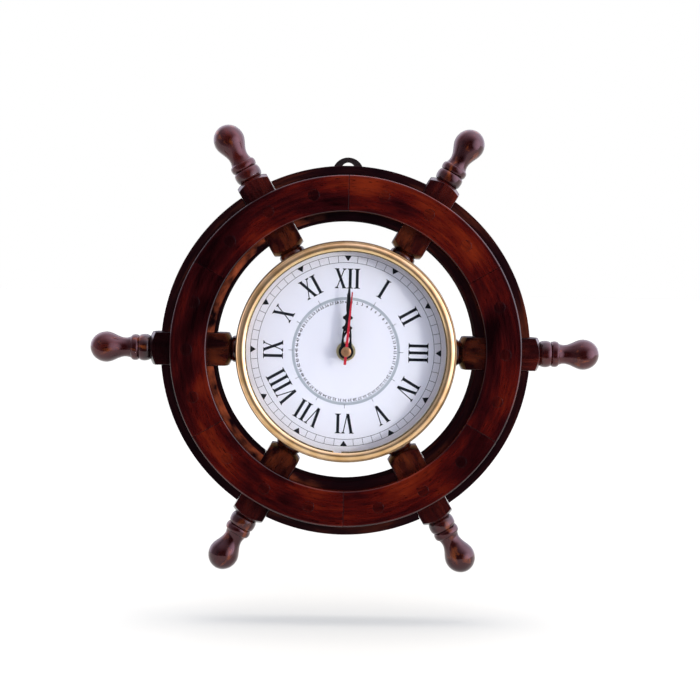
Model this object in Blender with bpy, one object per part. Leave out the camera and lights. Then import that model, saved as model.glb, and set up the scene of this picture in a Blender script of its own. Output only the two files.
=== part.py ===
"""Ship wheel wall clock: a turned six-spoke wheel with a brass cased quartz clock in its hub.

Every piece is drawn in a front view, with X to the right, Y up and Z out from the wall, all in
metres. One empty stands that view upright, so the clock faces -Y and the wall is on its +Y side.
"""

import math

import bmesh
import bpy
from mathutils import Matrix

# Fits
SEAT_GAP = 0.0003
RUNNING_GAP = 0.0003

# How far a cutter runs past a face, and how far joined shapes reach into each other
OVERRUN = 0.0010
JOIN_OVERLAP = 0.0005

# Wheel: spokes turned from square stock, felloes between them, ring segments on both faces
SPOKE_COUNT = 6
SPOKE_SIZE = 0.0244
TIP_RADIUS = 0.1905
BLOCK_OUTER_RADIUS = 0.1457
SHOULDER_LENGTH = 0.0060
SHOULDER_CURVE = 1.25
INNER_NECK_RADIUS = 0.0100
INNER_NECK_LENGTH = 0.0052
FIRST_BEAD_RADIUS = 0.0100
FIRST_BEAD_LENGTH = 0.0084
SECOND_BEAD_RADIUS = 0.0097
SECOND_BEAD_LENGTH = 0.0058
GROOVE_RADIUS = 0.0086
NECK_RADIUS = 0.0071
NECK_LENGTH = 0.0042
BALL_RADIUS = 0.0115
BALL_NOSE = 0.0110
FELLOE_OUTER_RADIUS = 0.1370
FELLOE_WIDTH = 0.0400
RING_OUTER_RADIUS = 0.1297
RING_WIDTH = 0.0267
RING_THICKNESS = 0.0090
RING_ROUNDING = 0.0016

# Screws that hold the spokes to the case, from inside the case
SPOKE_SCREW_RADIUS = 0.0018
SPOKE_SCREW_LENGTH = 0.0220
SPOKE_SCREW_HEAD_RADIUS = 0.0034
SPOKE_SCREW_HEAD_HEIGHT = 0.0022

# Hanger
HANGER_THICKNESS = 0.0020
EYE_OUTER_RADIUS = 0.0120
EYE_HOLE_RADIUS = 0.0051
EYE_ABOVE_RING = 0.0073
EYE_TOP_BAND = 0.0038
HANGER_FOOT_WIDTH = 0.0300
HANGER_FOOT_LENGTH = 0.0220
HANGER_SCREW_RADIUS = 0.0015
HANGER_SCREW_HEAD_RADIUS = 0.0029
HANGER_SCREW_HEAD_HEIGHT = 0.0014
HANGER_SCREW_LENGTH = 0.0080

# Case, bezel, glass and dial
CASE_RADIUS = 0.0794
CASE_WALL = 0.0012
CASE_REAR_LIP = 0.0045
CASE_DEPTH_BEHIND_SPOKE = 0.0145
LEDGE_WIDTH = 0.0028
LEDGE_ROOM = 0.0012
DIAL_THICKNESS = 0.0008
BEZEL_OVERHANG = 0.0025
BEZEL_SKIRT = 0.0042
BEZEL_STEP = 0.0016
BEZEL_CREST = 0.0018
BEZEL_BAND_INSET = 0.0004
BEZEL_LIP = 0.0031
GLASS_THICKNESS = 0.0020
GLASS_ROOM = 0.0012
GLASS_RING_SIZE = 0.0011
GLASS_RING_WIDTH = 0.0036
GLASS_RING_SPLIT = 0.0060

# Hands and what they sit on
WASHER_RADIUS = 0.00715
WASHER_THICKNESS = 0.0006
NUT_RADIUS = 0.0058
NUT_HEIGHT = 0.0022
BUSH_RADIUS = 0.0040
BUSH_SHOW = 0.0006
HAND_THICKNESS = 0.0005
HAND_ROOM = 0.0009
HOUR_HAND_REACH = 0.0340
HOUR_KNOB_REACH = 0.0176
HOUR_BOSS_RADIUS = 0.0055
MINUTE_HAND_REACH = 0.0496
MINUTE_KNOB_REACH = 0.0252
MINUTE_BOSS_RADIUS = 0.0048
HAND_KNOB_RADIUS = 0.0012
HAND_KNOB_SPREAD = 0.0025
HAND_WAIST = 0.0013
HAND_LOOP_HALF_WIDTH = 0.0033
HAND_LOOP_BAND = 0.0012
SECOND_HAND_REACH = 0.0443
SECOND_HAND_TAIL = 0.00975
SECOND_HAND_HALF_WIDTH = 0.0010
SECOND_BOSS_RADIUS = 0.0026
CAP_RADIUS = 0.0037
CAP_HEIGHT = 0.0018
HOUR_REST_ANGLE = math.radians(2)
MINUTE_REST_ANGLE = math.radians(2)
SECOND_REST_ANGLE = math.radians(5)

# Movement: battery bay below, wheel train above
MOVEMENT_WALL = 0.0015
MOVEMENT_TOP = 0.0280
MOVEMENT_CORNER = 0.0020
BATTERY_RADIUS = 0.00715
BATTERY_BODY_LENGTH = 0.0489
BATTERY_NUB_LENGTH = 0.0014
BATTERY_NUB_RADIUS = 0.0026
CONTACT_THICKNESS = 0.0005
CONTACT_WIDTH = 0.0080
CONTACT_SPRING = 0.0006
BAY_TOP = 0.0110
KNOB_RADIUS = 0.0044
KNOB_REACH = 0.0032
KNOB_RIBS = 18

# Wheel train: teeth, distances between arbors and the level of each pair of wheels
WHEEL_THICKNESS = 0.0012
LEVEL_GAP = 0.0007
ARBOR_RADIUS = 0.00045
SETTING_STEM_RADIUS = 0.0007
MINUTE_TUBE_RADIUS = 0.00115
MINUTE_TUBE_BORE = 0.00075
HOUR_TUBE_RADIUS = 0.0025
HOUR_TUBE_BORE = 0.00145
SETTING_DISTANCE = 0.0080
THIRD_DISTANCE = 0.0075
FIFTH_DISTANCE = 0.00768
ROTOR_DISTANCE = 0.0056
CANNON_TEETH = 8
SETTING_TEETH = 32
SETTING_PINION_TEETH = 8
HOUR_TEETH = 24
SECOND_PINION_TEETH = 6
THIRD_TEETH = 45
THIRD_PINION_TEETH = 6
CENTRE_TEETH = 48
SECOND_TEETH = 30
FIFTH_PINION_TEETH = 6
FIFTH_TEETH = 36
ROTOR_PINION_TEETH = 6
SETTING_ANGLE = math.radians(180)
THIRD_ANGLE = math.radians(75)
FIFTH_ANGLE = math.radians(-10)
ROTOR_ANGLE = math.radians(20)
TOOTH_RISE = 0.7
TOOTH_DROP = 1.2
TOOTH_TIP_SHARE = 0.16
MAGNET_RADIUS = 0.0028
MAGNET_LENGTH = 0.0030
STATOR_THICKNESS = 0.0010
STATOR_ARM = 0.0026
STATOR_RIM = 0.0009
STATOR_WIDTH = 0.0136
STATOR_TOP = 0.0222
COIL_HEIGHT = 0.0076
COIL_DEPTH = 0.0064
COIL_CORNER = 0.0012
BOARD_WIDTH = 0.0200
BOARD_HEIGHT = 0.0100
BOARD_THICKNESS = 0.0008

# Facets
CASE_SIDES = 48
SPOKE_SIDES = 12
SEGMENT_STEPS = 8
GLASS_RING_STEPS = 32
SMALL_SIDES = 12
SCREW_SIDES = 8

# Levels along Z, from the wall out
PITCH = math.tau / SPOKE_COUNT
REAR_RING_BACK = HANGER_THICKNESS + SEAT_GAP
FELLOE_BACK = REAR_RING_BACK + RING_THICKNESS + SEAT_GAP
SPOKE_AXIS = FELLOE_BACK + SPOKE_SIZE / 2
FELLOE_FRONT = FELLOE_BACK + SPOKE_SIZE
FRONT_RING_BACK = FELLOE_FRONT + SEAT_GAP
FRONT_RING_FRONT = FRONT_RING_BACK + RING_THICKNESS
LEDGE_BACK = SPOKE_AXIS + SPOKE_SCREW_HEAD_RADIUS + LEDGE_ROOM
LEDGE_FRONT = LEDGE_BACK + CASE_WALL
DIAL_BACK = LEDGE_FRONT + SEAT_GAP
DIAL_FRONT = DIAL_BACK + DIAL_THICKNESS
WASHER_BACK = DIAL_FRONT + SEAT_GAP
NUT_BACK = WASHER_BACK + WASHER_THICKNESS + SEAT_GAP
BUSH_FRONT = NUT_BACK + NUT_HEIGHT + BUSH_SHOW
HOUR_HAND_BACK = BUSH_FRONT + HAND_ROOM
MINUTE_HAND_BACK = HOUR_HAND_BACK + 2 * HAND_THICKNESS + HAND_ROOM
SECOND_HAND_BACK = MINUTE_HAND_BACK + 2 * HAND_THICKNESS + HAND_ROOM
CAP_BACK = SECOND_HAND_BACK + HAND_THICKNESS + SEAT_GAP
CAP_FRONT = CAP_BACK + CAP_HEIGHT
GLASS_BACK = CAP_FRONT + GLASS_ROOM
GLASS_FRONT = GLASS_BACK + GLASS_THICKNESS
LIP_BACK = GLASS_FRONT + SEAT_GAP
BEZEL_FRONT = LIP_BACK + BEZEL_CREST
GLASS_RING_FRONT = GLASS_BACK - SEAT_GAP
GLASS_RING_BACK = GLASS_RING_FRONT - GLASS_RING_SIZE
CASE_FRONT = GLASS_RING_BACK - SEAT_GAP
CASE_BACK = SPOKE_AXIS - CASE_DEPTH_BEHIND_SPOKE
DEPTH = max(BEZEL_FRONT, FRONT_RING_FRONT)

# Radii of the rim and of the case
RING_INNER_RADIUS = RING_OUTER_RADIUS - RING_WIDTH
FELLOE_INNER_RADIUS = FELLOE_OUTER_RADIUS - FELLOE_WIDTH
BLOCK_INNER_RADIUS = CASE_RADIUS + SEAT_GAP + INNER_NECK_LENGTH
BEZEL_RADIUS = CASE_RADIUS + BEZEL_OVERHANG
CASE_BORE = CASE_RADIUS - CASE_WALL
GLASS_SEAT_RADIUS = CASE_BORE - 2 * SEAT_GAP
GLASS_RADIUS = GLASS_SEAT_RADIUS - SEAT_GAP
LIP_RADIUS = GLASS_SEAT_RADIUS - BEZEL_LIP

# Movement levels and sides
MOVEMENT_FRONT = DIAL_BACK - SEAT_GAP
FLOOR = MOVEMENT_FRONT - MOVEMENT_WALL
LEVEL_PITCH = WHEEL_THICKNESS + LEVEL_GAP
TRAIN_DEPTH = 6 * LEVEL_PITCH + WHEEL_THICKNESS + MOVEMENT_WALL
MOVEMENT_BACK = FLOOR - max(2 * BATTERY_RADIUS + SEAT_GAP, TRAIN_DEPTH)
COVER_FRONT = MOVEMENT_BACK + MOVEMENT_WALL
BAY_HALF_HEIGHT = BATTERY_RADIUS + 1.5 * SEAT_GAP
BAY_AXIS = -BAY_TOP - BAY_HALF_HEIGHT
MOVEMENT_BOTTOM = BAY_AXIS - BAY_HALF_HEIGHT - MOVEMENT_WALL
CONTACT_ROOM = CONTACT_THICKNESS + CONTACT_SPRING + SEAT_GAP
BAY_HALF_LENGTH = (BATTERY_BODY_LENGTH + BATTERY_NUB_LENGTH) / 2 + CONTACT_ROOM
MOVEMENT_HALF_WIDTH = BAY_HALF_LENGTH + MOVEMENT_WALL
POSITIVE_FACE = BAY_HALF_LENGTH - SEAT_GAP - CONTACT_THICKNESS
BATTERY_SHOULDER = POSITIVE_FACE - SEAT_GAP - BATTERY_NUB_LENGTH
NEGATIVE_FACE = BATTERY_SHOULDER - BATTERY_BODY_LENGTH - SEAT_GAP

# Arbor places, as seen from the front
SETTING_PLACE = (SETTING_DISTANCE * math.cos(SETTING_ANGLE), SETTING_DISTANCE * math.sin(SETTING_ANGLE))
THIRD_PLACE = (THIRD_DISTANCE * math.cos(THIRD_ANGLE), THIRD_DISTANCE * math.sin(THIRD_ANGLE))
FIFTH_PLACE = (FIFTH_DISTANCE * math.cos(FIFTH_ANGLE), FIFTH_DISTANCE * math.sin(FIFTH_ANGLE))
ROTOR_PLACE = (
    FIFTH_PLACE[0] + ROTOR_DISTANCE * math.cos(ROTOR_ANGLE),
    FIFTH_PLACE[1] + ROTOR_DISTANCE * math.sin(ROTOR_ANGLE),
)


def level(number):
    """Front face of a level of the wheel train, counted from the front of the movement."""
    return FLOOR - number * LEVEL_PITCH + LEVEL_PITCH - LEVEL_GAP


# Modelling helpers

def linear(channel):
    """One sRGB channel, 0 to 1, as linear light."""
    return channel / 12.92 if channel <= 0.04045 else ((channel + 0.055) / 1.055) ** 2.4


def finish(name, colour, roughness, metallic=0.0, transmission=0.0):
    """Principled material from an sRGB hex colour."""
    material = bpy.data.materials.new(name)
    material.use_nodes = True
    shader = material.node_tree.nodes["Principled BSDF"]
    channels = [linear(int(colour[i:i + 2], 16) / 255) for i in (1, 3, 5)]
    shader.inputs["Base Color"].default_value = (*channels, 1.0)
    shader.inputs["Roughness"].default_value = roughness
    shader.inputs["Metallic"].default_value = metallic
    shader.inputs["Transmission Weight"].default_value = transmission
    return material


def solid(name, bm):
    """Object of one closed bmesh, its faces turned outward."""
    bmesh.ops.remove_doubles(bm, verts=bm.verts[:], dist=1e-7)
    bmesh.ops.recalc_face_normals(bm, faces=bm.faces[:])
    mesh = bpy.data.meshes.new(name)
    bm.to_mesh(mesh)
    bm.free()
    piece = bpy.data.objects.new(name, mesh)
    bpy.context.collection.objects.link(piece)
    return piece


def combine(piece, tool, operation):
    """Cuts, joins or intersects a piece with a tool, which is used up."""
    modifier = piece.modifiers.new(operation.lower(), "BOOLEAN")
    modifier.operation = operation
    modifier.solver = "EXACT"
    modifier.object = tool
    graph = bpy.context.evaluated_depsgraph_get()
    mesh = bpy.data.meshes.new_from_object(piece.evaluated_get(graph))
    piece.modifiers.clear()
    piece.data = mesh
    bpy.data.objects.remove(tool)
    return piece


def place(piece, material, parent, spot=(0.0, 0.0, 0.0), turn=0.0, smooth=False):
    """Gives a piece its material, its parent and its place in the front view."""
    piece.data.materials.clear()
    piece.data.materials.append(material)
    piece.parent = parent
    piece.location = spot
    piece.rotation_euler = (0.0, 0.0, turn)
    if smooth:
        piece.data.shade_smooth()
        piece.data.set_sharp_from_angle(angle=math.radians(35))
    return piece


def arc(radius, start, end, steps, centre=(0.0, 0.0)):
    """Points on an arc, both ends included."""
    angles = [start + (end - start) * step / steps for step in range(steps + 1)]
    return [(centre[0] + radius * math.cos(a), centre[1] + radius * math.sin(a)) for a in angles]


def circle(radius, sides, centre=(0.0, 0.0)):
    """Points round a circle, the last one not repeated."""
    return arc(radius, 0.0, math.tau, sides, centre)[:-1]


def spun(profile, sides):
    """Bmesh of a profile of (radius, height) points turned round Z."""
    bm = bmesh.new()
    points = [bm.verts.new((radius, 0.0, height)) for radius, height in profile]
    pairs = list(zip(points, points[1:]))
    if profile[0][0] > 0.0:
        pairs.append((points[-1], points[0]))
    edges = [bm.edges.new(pair) for pair in pairs]
    bmesh.ops.spin(
        bm, geom=points + edges, cent=(0, 0, 0), axis=(0, 0, 1),
        angle=math.tau, steps=sides, use_merge=True, use_duplicate=False)
    return bm


def along_x(bm):
    """Lays a bmesh turned round Z along +X."""
    bmesh.ops.transform(bm, matrix=Matrix.Rotation(math.pi / 2, 4, "Y"), verts=bm.verts[:])
    return bm


def moved(bm, x=0.0, y=0.0, z=0.0):
    """Shifts a bmesh."""
    bmesh.ops.translate(bm, verts=bm.verts[:], vec=(x, y, z))
    return bm


def plate(outline, holes, thickness, back=0.0):
    """Bmesh of a flat outline with holes, raised along Z from its back face."""
    bm = bmesh.new()
    edges = []
    for loop in (outline, *holes):
        points = [bm.verts.new((x, y, back)) for x, y in loop]
        edges += [bm.edges.new(pair) for pair in zip(points, points[1:] + points[:1])]
    bmesh.ops.triangle_fill(bm, use_beauty=True, use_dissolve=False, edges=edges)
    raised = bmesh.ops.extrude_face_region(bm, geom=bm.faces[:])["geom"]
    top = [item for item in raised if isinstance(item, bmesh.types.BMVert)]
    bmesh.ops.translate(bm, verts=top, vec=(0.0, 0.0, thickness))
    return bm


def rectangle(left, right, bottom, top):
    """Outline of an upright rectangle."""
    return [(left, bottom), (right, bottom), (right, top), (left, top)]


def rounded(left, right, bottom, top, radius):
    """Outline of an upright rectangle with rounded corners."""
    quarter = math.pi / 2
    corners = [(right, top), (left, top), (left, bottom), (right, bottom)]
    inward = [(-1, -1), (1, -1), (1, 1), (-1, 1)]
    outline = []
    for turn, ((x, y), (sx, sy)) in enumerate(zip(corners, inward)):
        centre = (x + sx * radius, y + sy * radius)
        outline += arc(radius, turn * quarter, (turn + 1) * quarter, 3, centre)
    return outline


def bent_bar(profile, sector, setback, steps):
    """Bar bent round Z over a sector about +X, its flat ends set back from the sector's sides."""
    bm = bmesh.new()
    rows = []
    for step in range(steps + 1):
        row = []
        for radius, height in profile:
            trim = math.asin(setback / radius)
            angle = -sector / 2 + trim + (sector - 2 * trim) * step / steps
            row.append(bm.verts.new((radius * math.cos(angle), radius * math.sin(angle), height)))
        rows.append(row)
    for near, far in zip(rows, rows[1:]):
        for side in range(len(profile)):
            bm.faces.new((near[side - 1], near[side], far[side], far[side - 1]))
    bm.faces.new(rows[0])
    bm.faces.new(rows[-1])
    return bm


def merged(*parts):
    """One bmesh of several."""
    whole = bmesh.new()
    for part in parts:
        scratch = bpy.data.meshes.new("scratch")
        part.to_mesh(scratch)
        part.free()
        whole.from_mesh(scratch)
        bpy.data.meshes.remove(scratch)
    return whole


# Wheel

def bead(start, length, radius):
    """Half-round bead on a turned profile."""
    rise = radius - GROOVE_RADIUS
    steps = 3
    angles = [math.pi * step / steps for step in range(steps + 1)]
    return [(GROOVE_RADIUS + rise * math.sin(a), start + length * (1 - math.cos(a)) / 2) for a in angles]


def eased(start, end, steps):
    """Profile points that ease from one (radius, height) to another, ends left out."""
    points = []
    for step in range(1, steps):
        share = step / steps
        blend = (1 - math.cos(math.pi * share)) / 2
        points.append((start[0] + (end[0] - start[0]) * blend, start[1] + (end[1] - start[1]) * share))
    return points


def spoke_profile():
    """Turned outline of a spoke, from its screw hole at the case to the tip of its handle."""
    inner_end = CASE_RADIUS + SEAT_GAP
    hole = SPOKE_SCREW_RADIUS + RUNNING_GAP
    hole_end = CASE_BORE + SPOKE_SCREW_LENGTH + SEAT_GAP
    stock = SPOKE_SIZE * 0.74 / math.cos(math.pi / SPOKE_SIDES)
    shoulder = [step / 3 for step in range(1, 4)]
    rise = stock - GROOVE_RADIUS
    climb = [(GROOVE_RADIUS + rise * t, SHOULDER_LENGTH * t ** SHOULDER_CURVE) for t in shoulder]
    first = bead(BLOCK_OUTER_RADIUS, FIRST_BEAD_LENGTH, FIRST_BEAD_RADIUS)
    second = bead(BLOCK_OUTER_RADIUS + FIRST_BEAD_LENGTH, SECOND_BEAD_LENGTH, SECOND_BEAD_RADIUS)
    neck = (NECK_RADIUS, second[-1][1] + NECK_LENGTH)
    ball = (BALL_RADIUS, TIP_RADIUS - BALL_NOSE)
    nose = [math.pi / 2 * step / 4 for step in range(1, 4)]
    profile = [(0.0, hole_end), (hole, hole_end), (hole, inner_end), (GROOVE_RADIUS, inner_end)]
    profile += [(INNER_NECK_RADIUS, (inner_end + BLOCK_INNER_RADIUS) / 2)]
    profile += [(GROOVE_RADIUS, BLOCK_INNER_RADIUS)]
    profile += [(radius, BLOCK_INNER_RADIUS + length) for radius, length in climb]
    profile += [(radius, BLOCK_OUTER_RADIUS - length) for radius, length in reversed(climb)]
    profile += first + second[1:]
    profile += [neck, *eased(neck, ball, 4), ball]
    profile += [(BALL_RADIUS * math.cos(a), ball[1] + BALL_NOSE * math.sin(a)) for a in nose]
    profile += [(0.0, TIP_RADIUS)]
    return profile


def ring_profile(back, rounded_front):
    """Section of a ring segment, its two outer-face edges rounded over."""
    front = back + RING_THICKNESS
    face, base = (front, back) if rounded_front else (back, front)
    soft = RING_ROUNDING if rounded_front else -RING_ROUNDING
    return [
        (RING_INNER_RADIUS, base), (RING_OUTER_RADIUS, base), (RING_OUTER_RADIUS, face - soft),
        (RING_OUTER_RADIUS - RING_ROUNDING, face), (RING_INNER_RADIUS + RING_ROUNDING, face),
        (RING_INNER_RADIUS, face - soft),
    ]


def build_wheel(root):
    """Six spokes, six felloes between them and six ring segments on each face."""
    wood = {
        "spoke": finish("spoke_wood", "#43150d", 0.22),
        "felloe": finish("felloe_wood", "#2c0d09", 0.25),
        "front_ring": finish("front_ring_wood", "#4e190e", 0.2),
        "rear_ring": finish("rear_ring_wood", "#3a130c", 0.3),
    }
    stock = SPOKE_SIZE / 2
    turned = solid("spoke", along_x(spun(spoke_profile(), SPOKE_SIDES)))
    bar = rectangle(0.0, 1.2 * TIP_RADIUS, -stock, stock)
    spoke = combine(turned, solid("stock", plate(bar, [], SPOKE_SIZE, -stock)), "INTERSECT").data
    bpy.data.objects.remove(turned)
    felloe = [
        (FELLOE_INNER_RADIUS, FELLOE_BACK), (FELLOE_OUTER_RADIUS, FELLOE_BACK),
        (FELLOE_OUTER_RADIUS, FELLOE_FRONT), (FELLOE_INNER_RADIUS, FELLOE_FRONT),
    ]
    foot_screws = [(side * hanger_screw_offset(), hanger_screw_height()) for side in (-1, 1)]
    for number in range(SPOKE_COUNT):
        turn = number * PITCH
        label = number + 1
        part = bpy.data.objects.new(f"spoke_{label}", spoke)
        bpy.context.collection.objects.link(part)
        place(part, wood["spoke"], root, (0.0, 0.0, SPOKE_AXIS), turn, smooth=True)
        part = solid(f"felloe_{label}", bent_bar(felloe, PITCH, stock + SEAT_GAP, SEGMENT_STEPS))
        place(part, wood["felloe"], root, turn=turn + PITCH / 2)
        profile = ring_profile(FRONT_RING_BACK, True)
        part = solid(f"front_ring_{label}", bent_bar(profile, PITCH, SEAT_GAP / 2, SEGMENT_STEPS))
        place(part, wood["front_ring"], root, turn=turn)
        profile = ring_profile(REAR_RING_BACK, False)
        part = solid(f"rear_ring_{label}", bent_bar(profile, PITCH, SEAT_GAP / 2, SEGMENT_STEPS))
        for x, y in foot_screws:
            if abs(math.atan2(y, x) - turn) < PITCH / 2:
                pilot = circle(HANGER_SCREW_RADIUS + RUNNING_GAP, SCREW_SIDES, (x, y))
                drill = plate(pilot, [], HANGER_SCREW_LENGTH + SEAT_GAP)
                bmesh.ops.rotate(drill, verts=drill.verts[:], matrix=Matrix.Rotation(-turn, 3, "Z"))
                combine(part, solid("pilot", drill), "DIFFERENCE")
        place(part, wood["rear_ring"], root, turn=turn)


# Hanger

def eye_height():
    """Height of the eye's middle above the wheel's axis."""
    return RING_OUTER_RADIUS + EYE_ABOVE_RING


def hanger_screw_height():
    """Height of the two hanger screws above the wheel's axis."""
    return RING_OUTER_RADIUS - HANGER_FOOT_LENGTH / 2


def hanger_screw_offset():
    """Distance of each hanger screw from the middle."""
    return HANGER_FOOT_WIDTH / 2 - 2 * HANGER_SCREW_HEAD_RADIUS


def countersink(radius, back, depth, clearance):
    """Profile of a countersunk head or of its seat, wide at the back."""
    shank = radius - depth
    return [
        (0.0, back), (radius + clearance, back), (shank + clearance, back + depth),
        (shank + clearance, 2 * HANGER_THICKNESS), (0.0, 2 * HANGER_THICKNESS),
    ]


def build_hanger(root):
    """Flat eye plate on the back of the wheel and its two screws."""
    black = finish("hanger_paint", "#141416", 0.5, 0.6)
    steel = finish("hanger_screw_steel", "#8d8f93", 0.35, 1.0)
    foot = hanger_screw_height()
    half = HANGER_FOOT_WIDTH / 2
    base = foot - HANGER_FOOT_LENGTH / 2
    corner = HANGER_SCREW_HEAD_RADIUS
    eye_centre = (0.0, eye_height() + EYE_HOLE_RADIUS + EYE_TOP_BAND - EYE_OUTER_RADIUS)
    outline = arc(EYE_OUTER_RADIUS, math.radians(-15), math.radians(195), 14, eye_centre)
    outline += [(-half, foot + corner)]
    outline += arc(corner, math.pi, 1.5 * math.pi, 3, (-half + corner, base + corner))
    outline += arc(corner, 1.5 * math.pi, 2 * math.pi, 3, (half - corner, base + corner))
    outline += [(half, foot + corner)]
    eye = circle(EYE_HOLE_RADIUS, 16, (0.0, eye_height()))
    hanger = solid("hanger_plate", plate(outline, [eye], HANGER_THICKNESS))
    head = HANGER_SCREW_HEAD_RADIUS
    depth = head - HANGER_SCREW_RADIUS
    for label, side in (("left", -1), ("right", 1)):
        spot = (side * hanger_screw_offset(), foot)
        seat = spun(countersink(head, -SEAT_GAP, depth, 2 * RUNNING_GAP), SCREW_SIDES)
        combine(hanger, solid("seat", moved(seat, *spot)), "DIFFERENCE")
        screw = [
            (0.0, 0.0), (head, 0.0), (HANGER_SCREW_RADIUS, depth),
            (HANGER_SCREW_RADIUS, 0.8 * HANGER_SCREW_LENGTH), (0.0, HANGER_SCREW_LENGTH),
        ]
        part = solid(f"hanger_screw_{label}", spun(screw, SCREW_SIDES))
        place(part, steel, root, (*spot, 0.0), smooth=True)
    place(hanger, black, root)


# Case, bezel, glass and dial

def build_case(root):
    """Brass drum with its dial ledge, drilled for the spoke screws, and the six screws."""
    brass = finish("case_brass", "#b8935a", 0.3, 1.0)
    steel = finish("spoke_screw_steel", "#9a9a98", 0.35, 1.0)
    ledge = CASE_BORE - LEDGE_WIDTH
    lip = CASE_BORE - CASE_REAR_LIP
    profile = [
        (CASE_RADIUS, CASE_BACK), (CASE_RADIUS, CASE_FRONT), (CASE_BORE, CASE_FRONT),
        (CASE_BORE, LEDGE_FRONT), (ledge, LEDGE_FRONT), (ledge, LEDGE_BACK), (CASE_BORE, LEDGE_BACK),
        (CASE_BORE, CASE_BACK + CASE_WALL), (lip, CASE_BACK + CASE_WALL), (lip, CASE_BACK),
    ]
    case = solid("case_drum", spun(profile, CASE_SIDES))
    inner_face = CASE_BORE * math.cos(math.pi / CASE_SIDES) - SEAT_GAP
    for number in range(SPOKE_COUNT):
        turn = number * PITCH
        shank = [(SPOKE_SCREW_RADIUS + RUNNING_GAP, inner_face - OVERRUN), (0.0, CASE_RADIUS + OVERRUN)]
        bore = [(0.0, shank[0][1]), shank[0], (shank[0][0], shank[1][1]), shank[1]]
        drill = along_x(spun(bore, SCREW_SIDES))
        bmesh.ops.rotate(drill, verts=drill.verts[:], matrix=Matrix.Rotation(turn, 3, "Z"))
        combine(case, solid("drill", moved(drill, z=SPOKE_AXIS)), "DIFFERENCE")
        head_back = inner_face - SPOKE_SCREW_HEAD_HEIGHT
        point = CASE_BORE + SPOKE_SCREW_LENGTH
        screw = [
            (0.0, head_back), (0.6 * SPOKE_SCREW_HEAD_RADIUS, head_back),
            (SPOKE_SCREW_HEAD_RADIUS, head_back + 0.5 * SPOKE_SCREW_HEAD_HEIGHT),
            (SPOKE_SCREW_HEAD_RADIUS, inner_face), (SPOKE_SCREW_RADIUS, inner_face),
            (SPOKE_SCREW_RADIUS, point - 2 * SPOKE_SCREW_RADIUS), (0.0, point),
        ]
        part = solid(f"spoke_screw_{number + 1}", along_x(spun(screw, SCREW_SIDES)))
        place(part, steel, root, (0.0, 0.0, SPOKE_AXIS), turn, smooth=True)
    place(case, brass, root, smooth=True)


def bezel_profile():
    """Section of the bezel: skirt over the case, small step, rounded band, lip and glass seat."""
    skirt = CASE_RADIUS + SEAT_GAP
    shoulder = CASE_FRONT + SEAT_GAP
    back = CASE_FRONT - BEZEL_SKIRT
    step = back + BEZEL_STEP
    groove = BEZEL_RADIUS - 0.4 * (BEZEL_RADIUS - skirt)
    band_back = step + 0.5 * BEZEL_STEP
    crest = (LIP_RADIUS + BEZEL_RADIUS) / 2 + 0.15 * (BEZEL_RADIUS - LIP_RADIUS)
    outside = [math.pi / 2 * part / 4 for part in range(5)]
    band = [
        (crest + (BEZEL_RADIUS - BEZEL_BAND_INSET - crest) * math.cos(a),
         band_back + (BEZEL_FRONT - band_back) * math.sin(a)) for a in outside]
    inside = [(LIP_RADIUS + 0.35 * (crest - LIP_RADIUS), BEZEL_FRONT - 0.25 * BEZEL_CREST)]
    return [
        (skirt, back), (BEZEL_RADIUS, back), (BEZEL_RADIUS, step), (groove, step), (groove, band_back),
        *band, *inside, (LIP_RADIUS, LIP_BACK + 0.4 * BEZEL_CREST), (LIP_RADIUS, LIP_BACK),
        (GLASS_SEAT_RADIUS, LIP_BACK), (GLASS_SEAT_RADIUS, shoulder), (skirt, shoulder),
    ]


def build_front(root):
    """Bezel, glass, the split ring behind the glass, and the dial on its ledge."""
    bezel = solid("bezel", spun(bezel_profile(), CASE_SIDES))
    place(bezel, finish("bezel_brass", "#c9a468", 0.26, 1.0), root, smooth=True)
    pane = solid("glass", plate(circle(GLASS_RADIUS, CASE_SIDES), [], GLASS_THICKNESS, GLASS_BACK))
    place(pane, finish("clear_glass", "#ffffff", 0.02, 0.0, 1.0), root)
    section = [
        (GLASS_RADIUS - GLASS_RING_WIDTH, GLASS_RING_BACK), (GLASS_RADIUS, GLASS_RING_BACK),
        (GLASS_RADIUS, GLASS_RING_FRONT), (GLASS_RADIUS - GLASS_RING_WIDTH, GLASS_RING_FRONT),
    ]
    sector = math.tau - GLASS_RING_SPLIT / GLASS_RADIUS
    ring = solid("glass_ring", bent_bar(section, sector, 0.0, GLASS_RING_STEPS))
    place(ring, finish("glass_ring_brass", "#8f6d3c", 0.35, 1.0), root, turn=math.radians(86))
    hole = circle(BUSH_RADIUS + RUNNING_GAP, SMALL_SIDES)
    rim = circle(CASE_BORE - SEAT_GAP, CASE_SIDES)
    dial = solid("dial", plate(rim, [hole], DIAL_THICKNESS, DIAL_BACK))
    place(dial, finish("dial_white", "#e8ebf5", 0.35), root)


# Hands

def mirrored(right):
    """Closed outline from its right side, drawn from bottom to top."""
    return right + [(-x, y) for x, y in reversed(right) if x > 1e-6]


def hand_outline(boss, knob, reach):
    """Outline of an ornate hand pointing up: boss, open loop, two side knobs and a slim leaf."""
    loop_end = knob - 2.2 * HAND_KNOB_RADIUS
    leaf = knob + 0.35 * (reach - knob)
    knob_arc = arc(HAND_KNOB_RADIUS, -0.45 * math.pi, 0.45 * math.pi, 4, (HAND_KNOB_SPREAD, knob))
    right = arc(boss, -math.pi / 2, math.radians(42), 7)
    right += [(HAND_LOOP_HALF_WIDTH, boss + 0.5 * (loop_end - boss)), (HAND_WAIST, loop_end)]
    right += knob_arc
    point = reach - 0.16 * (reach - leaf)
    right += [(0.8 * HAND_WAIST, knob + 2.4 * HAND_KNOB_RADIUS), (1.25 * HAND_WAIST, leaf)]
    right += [(0.5 * HAND_WAIST, point), (0.0, reach)]
    return mirrored(right)


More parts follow.
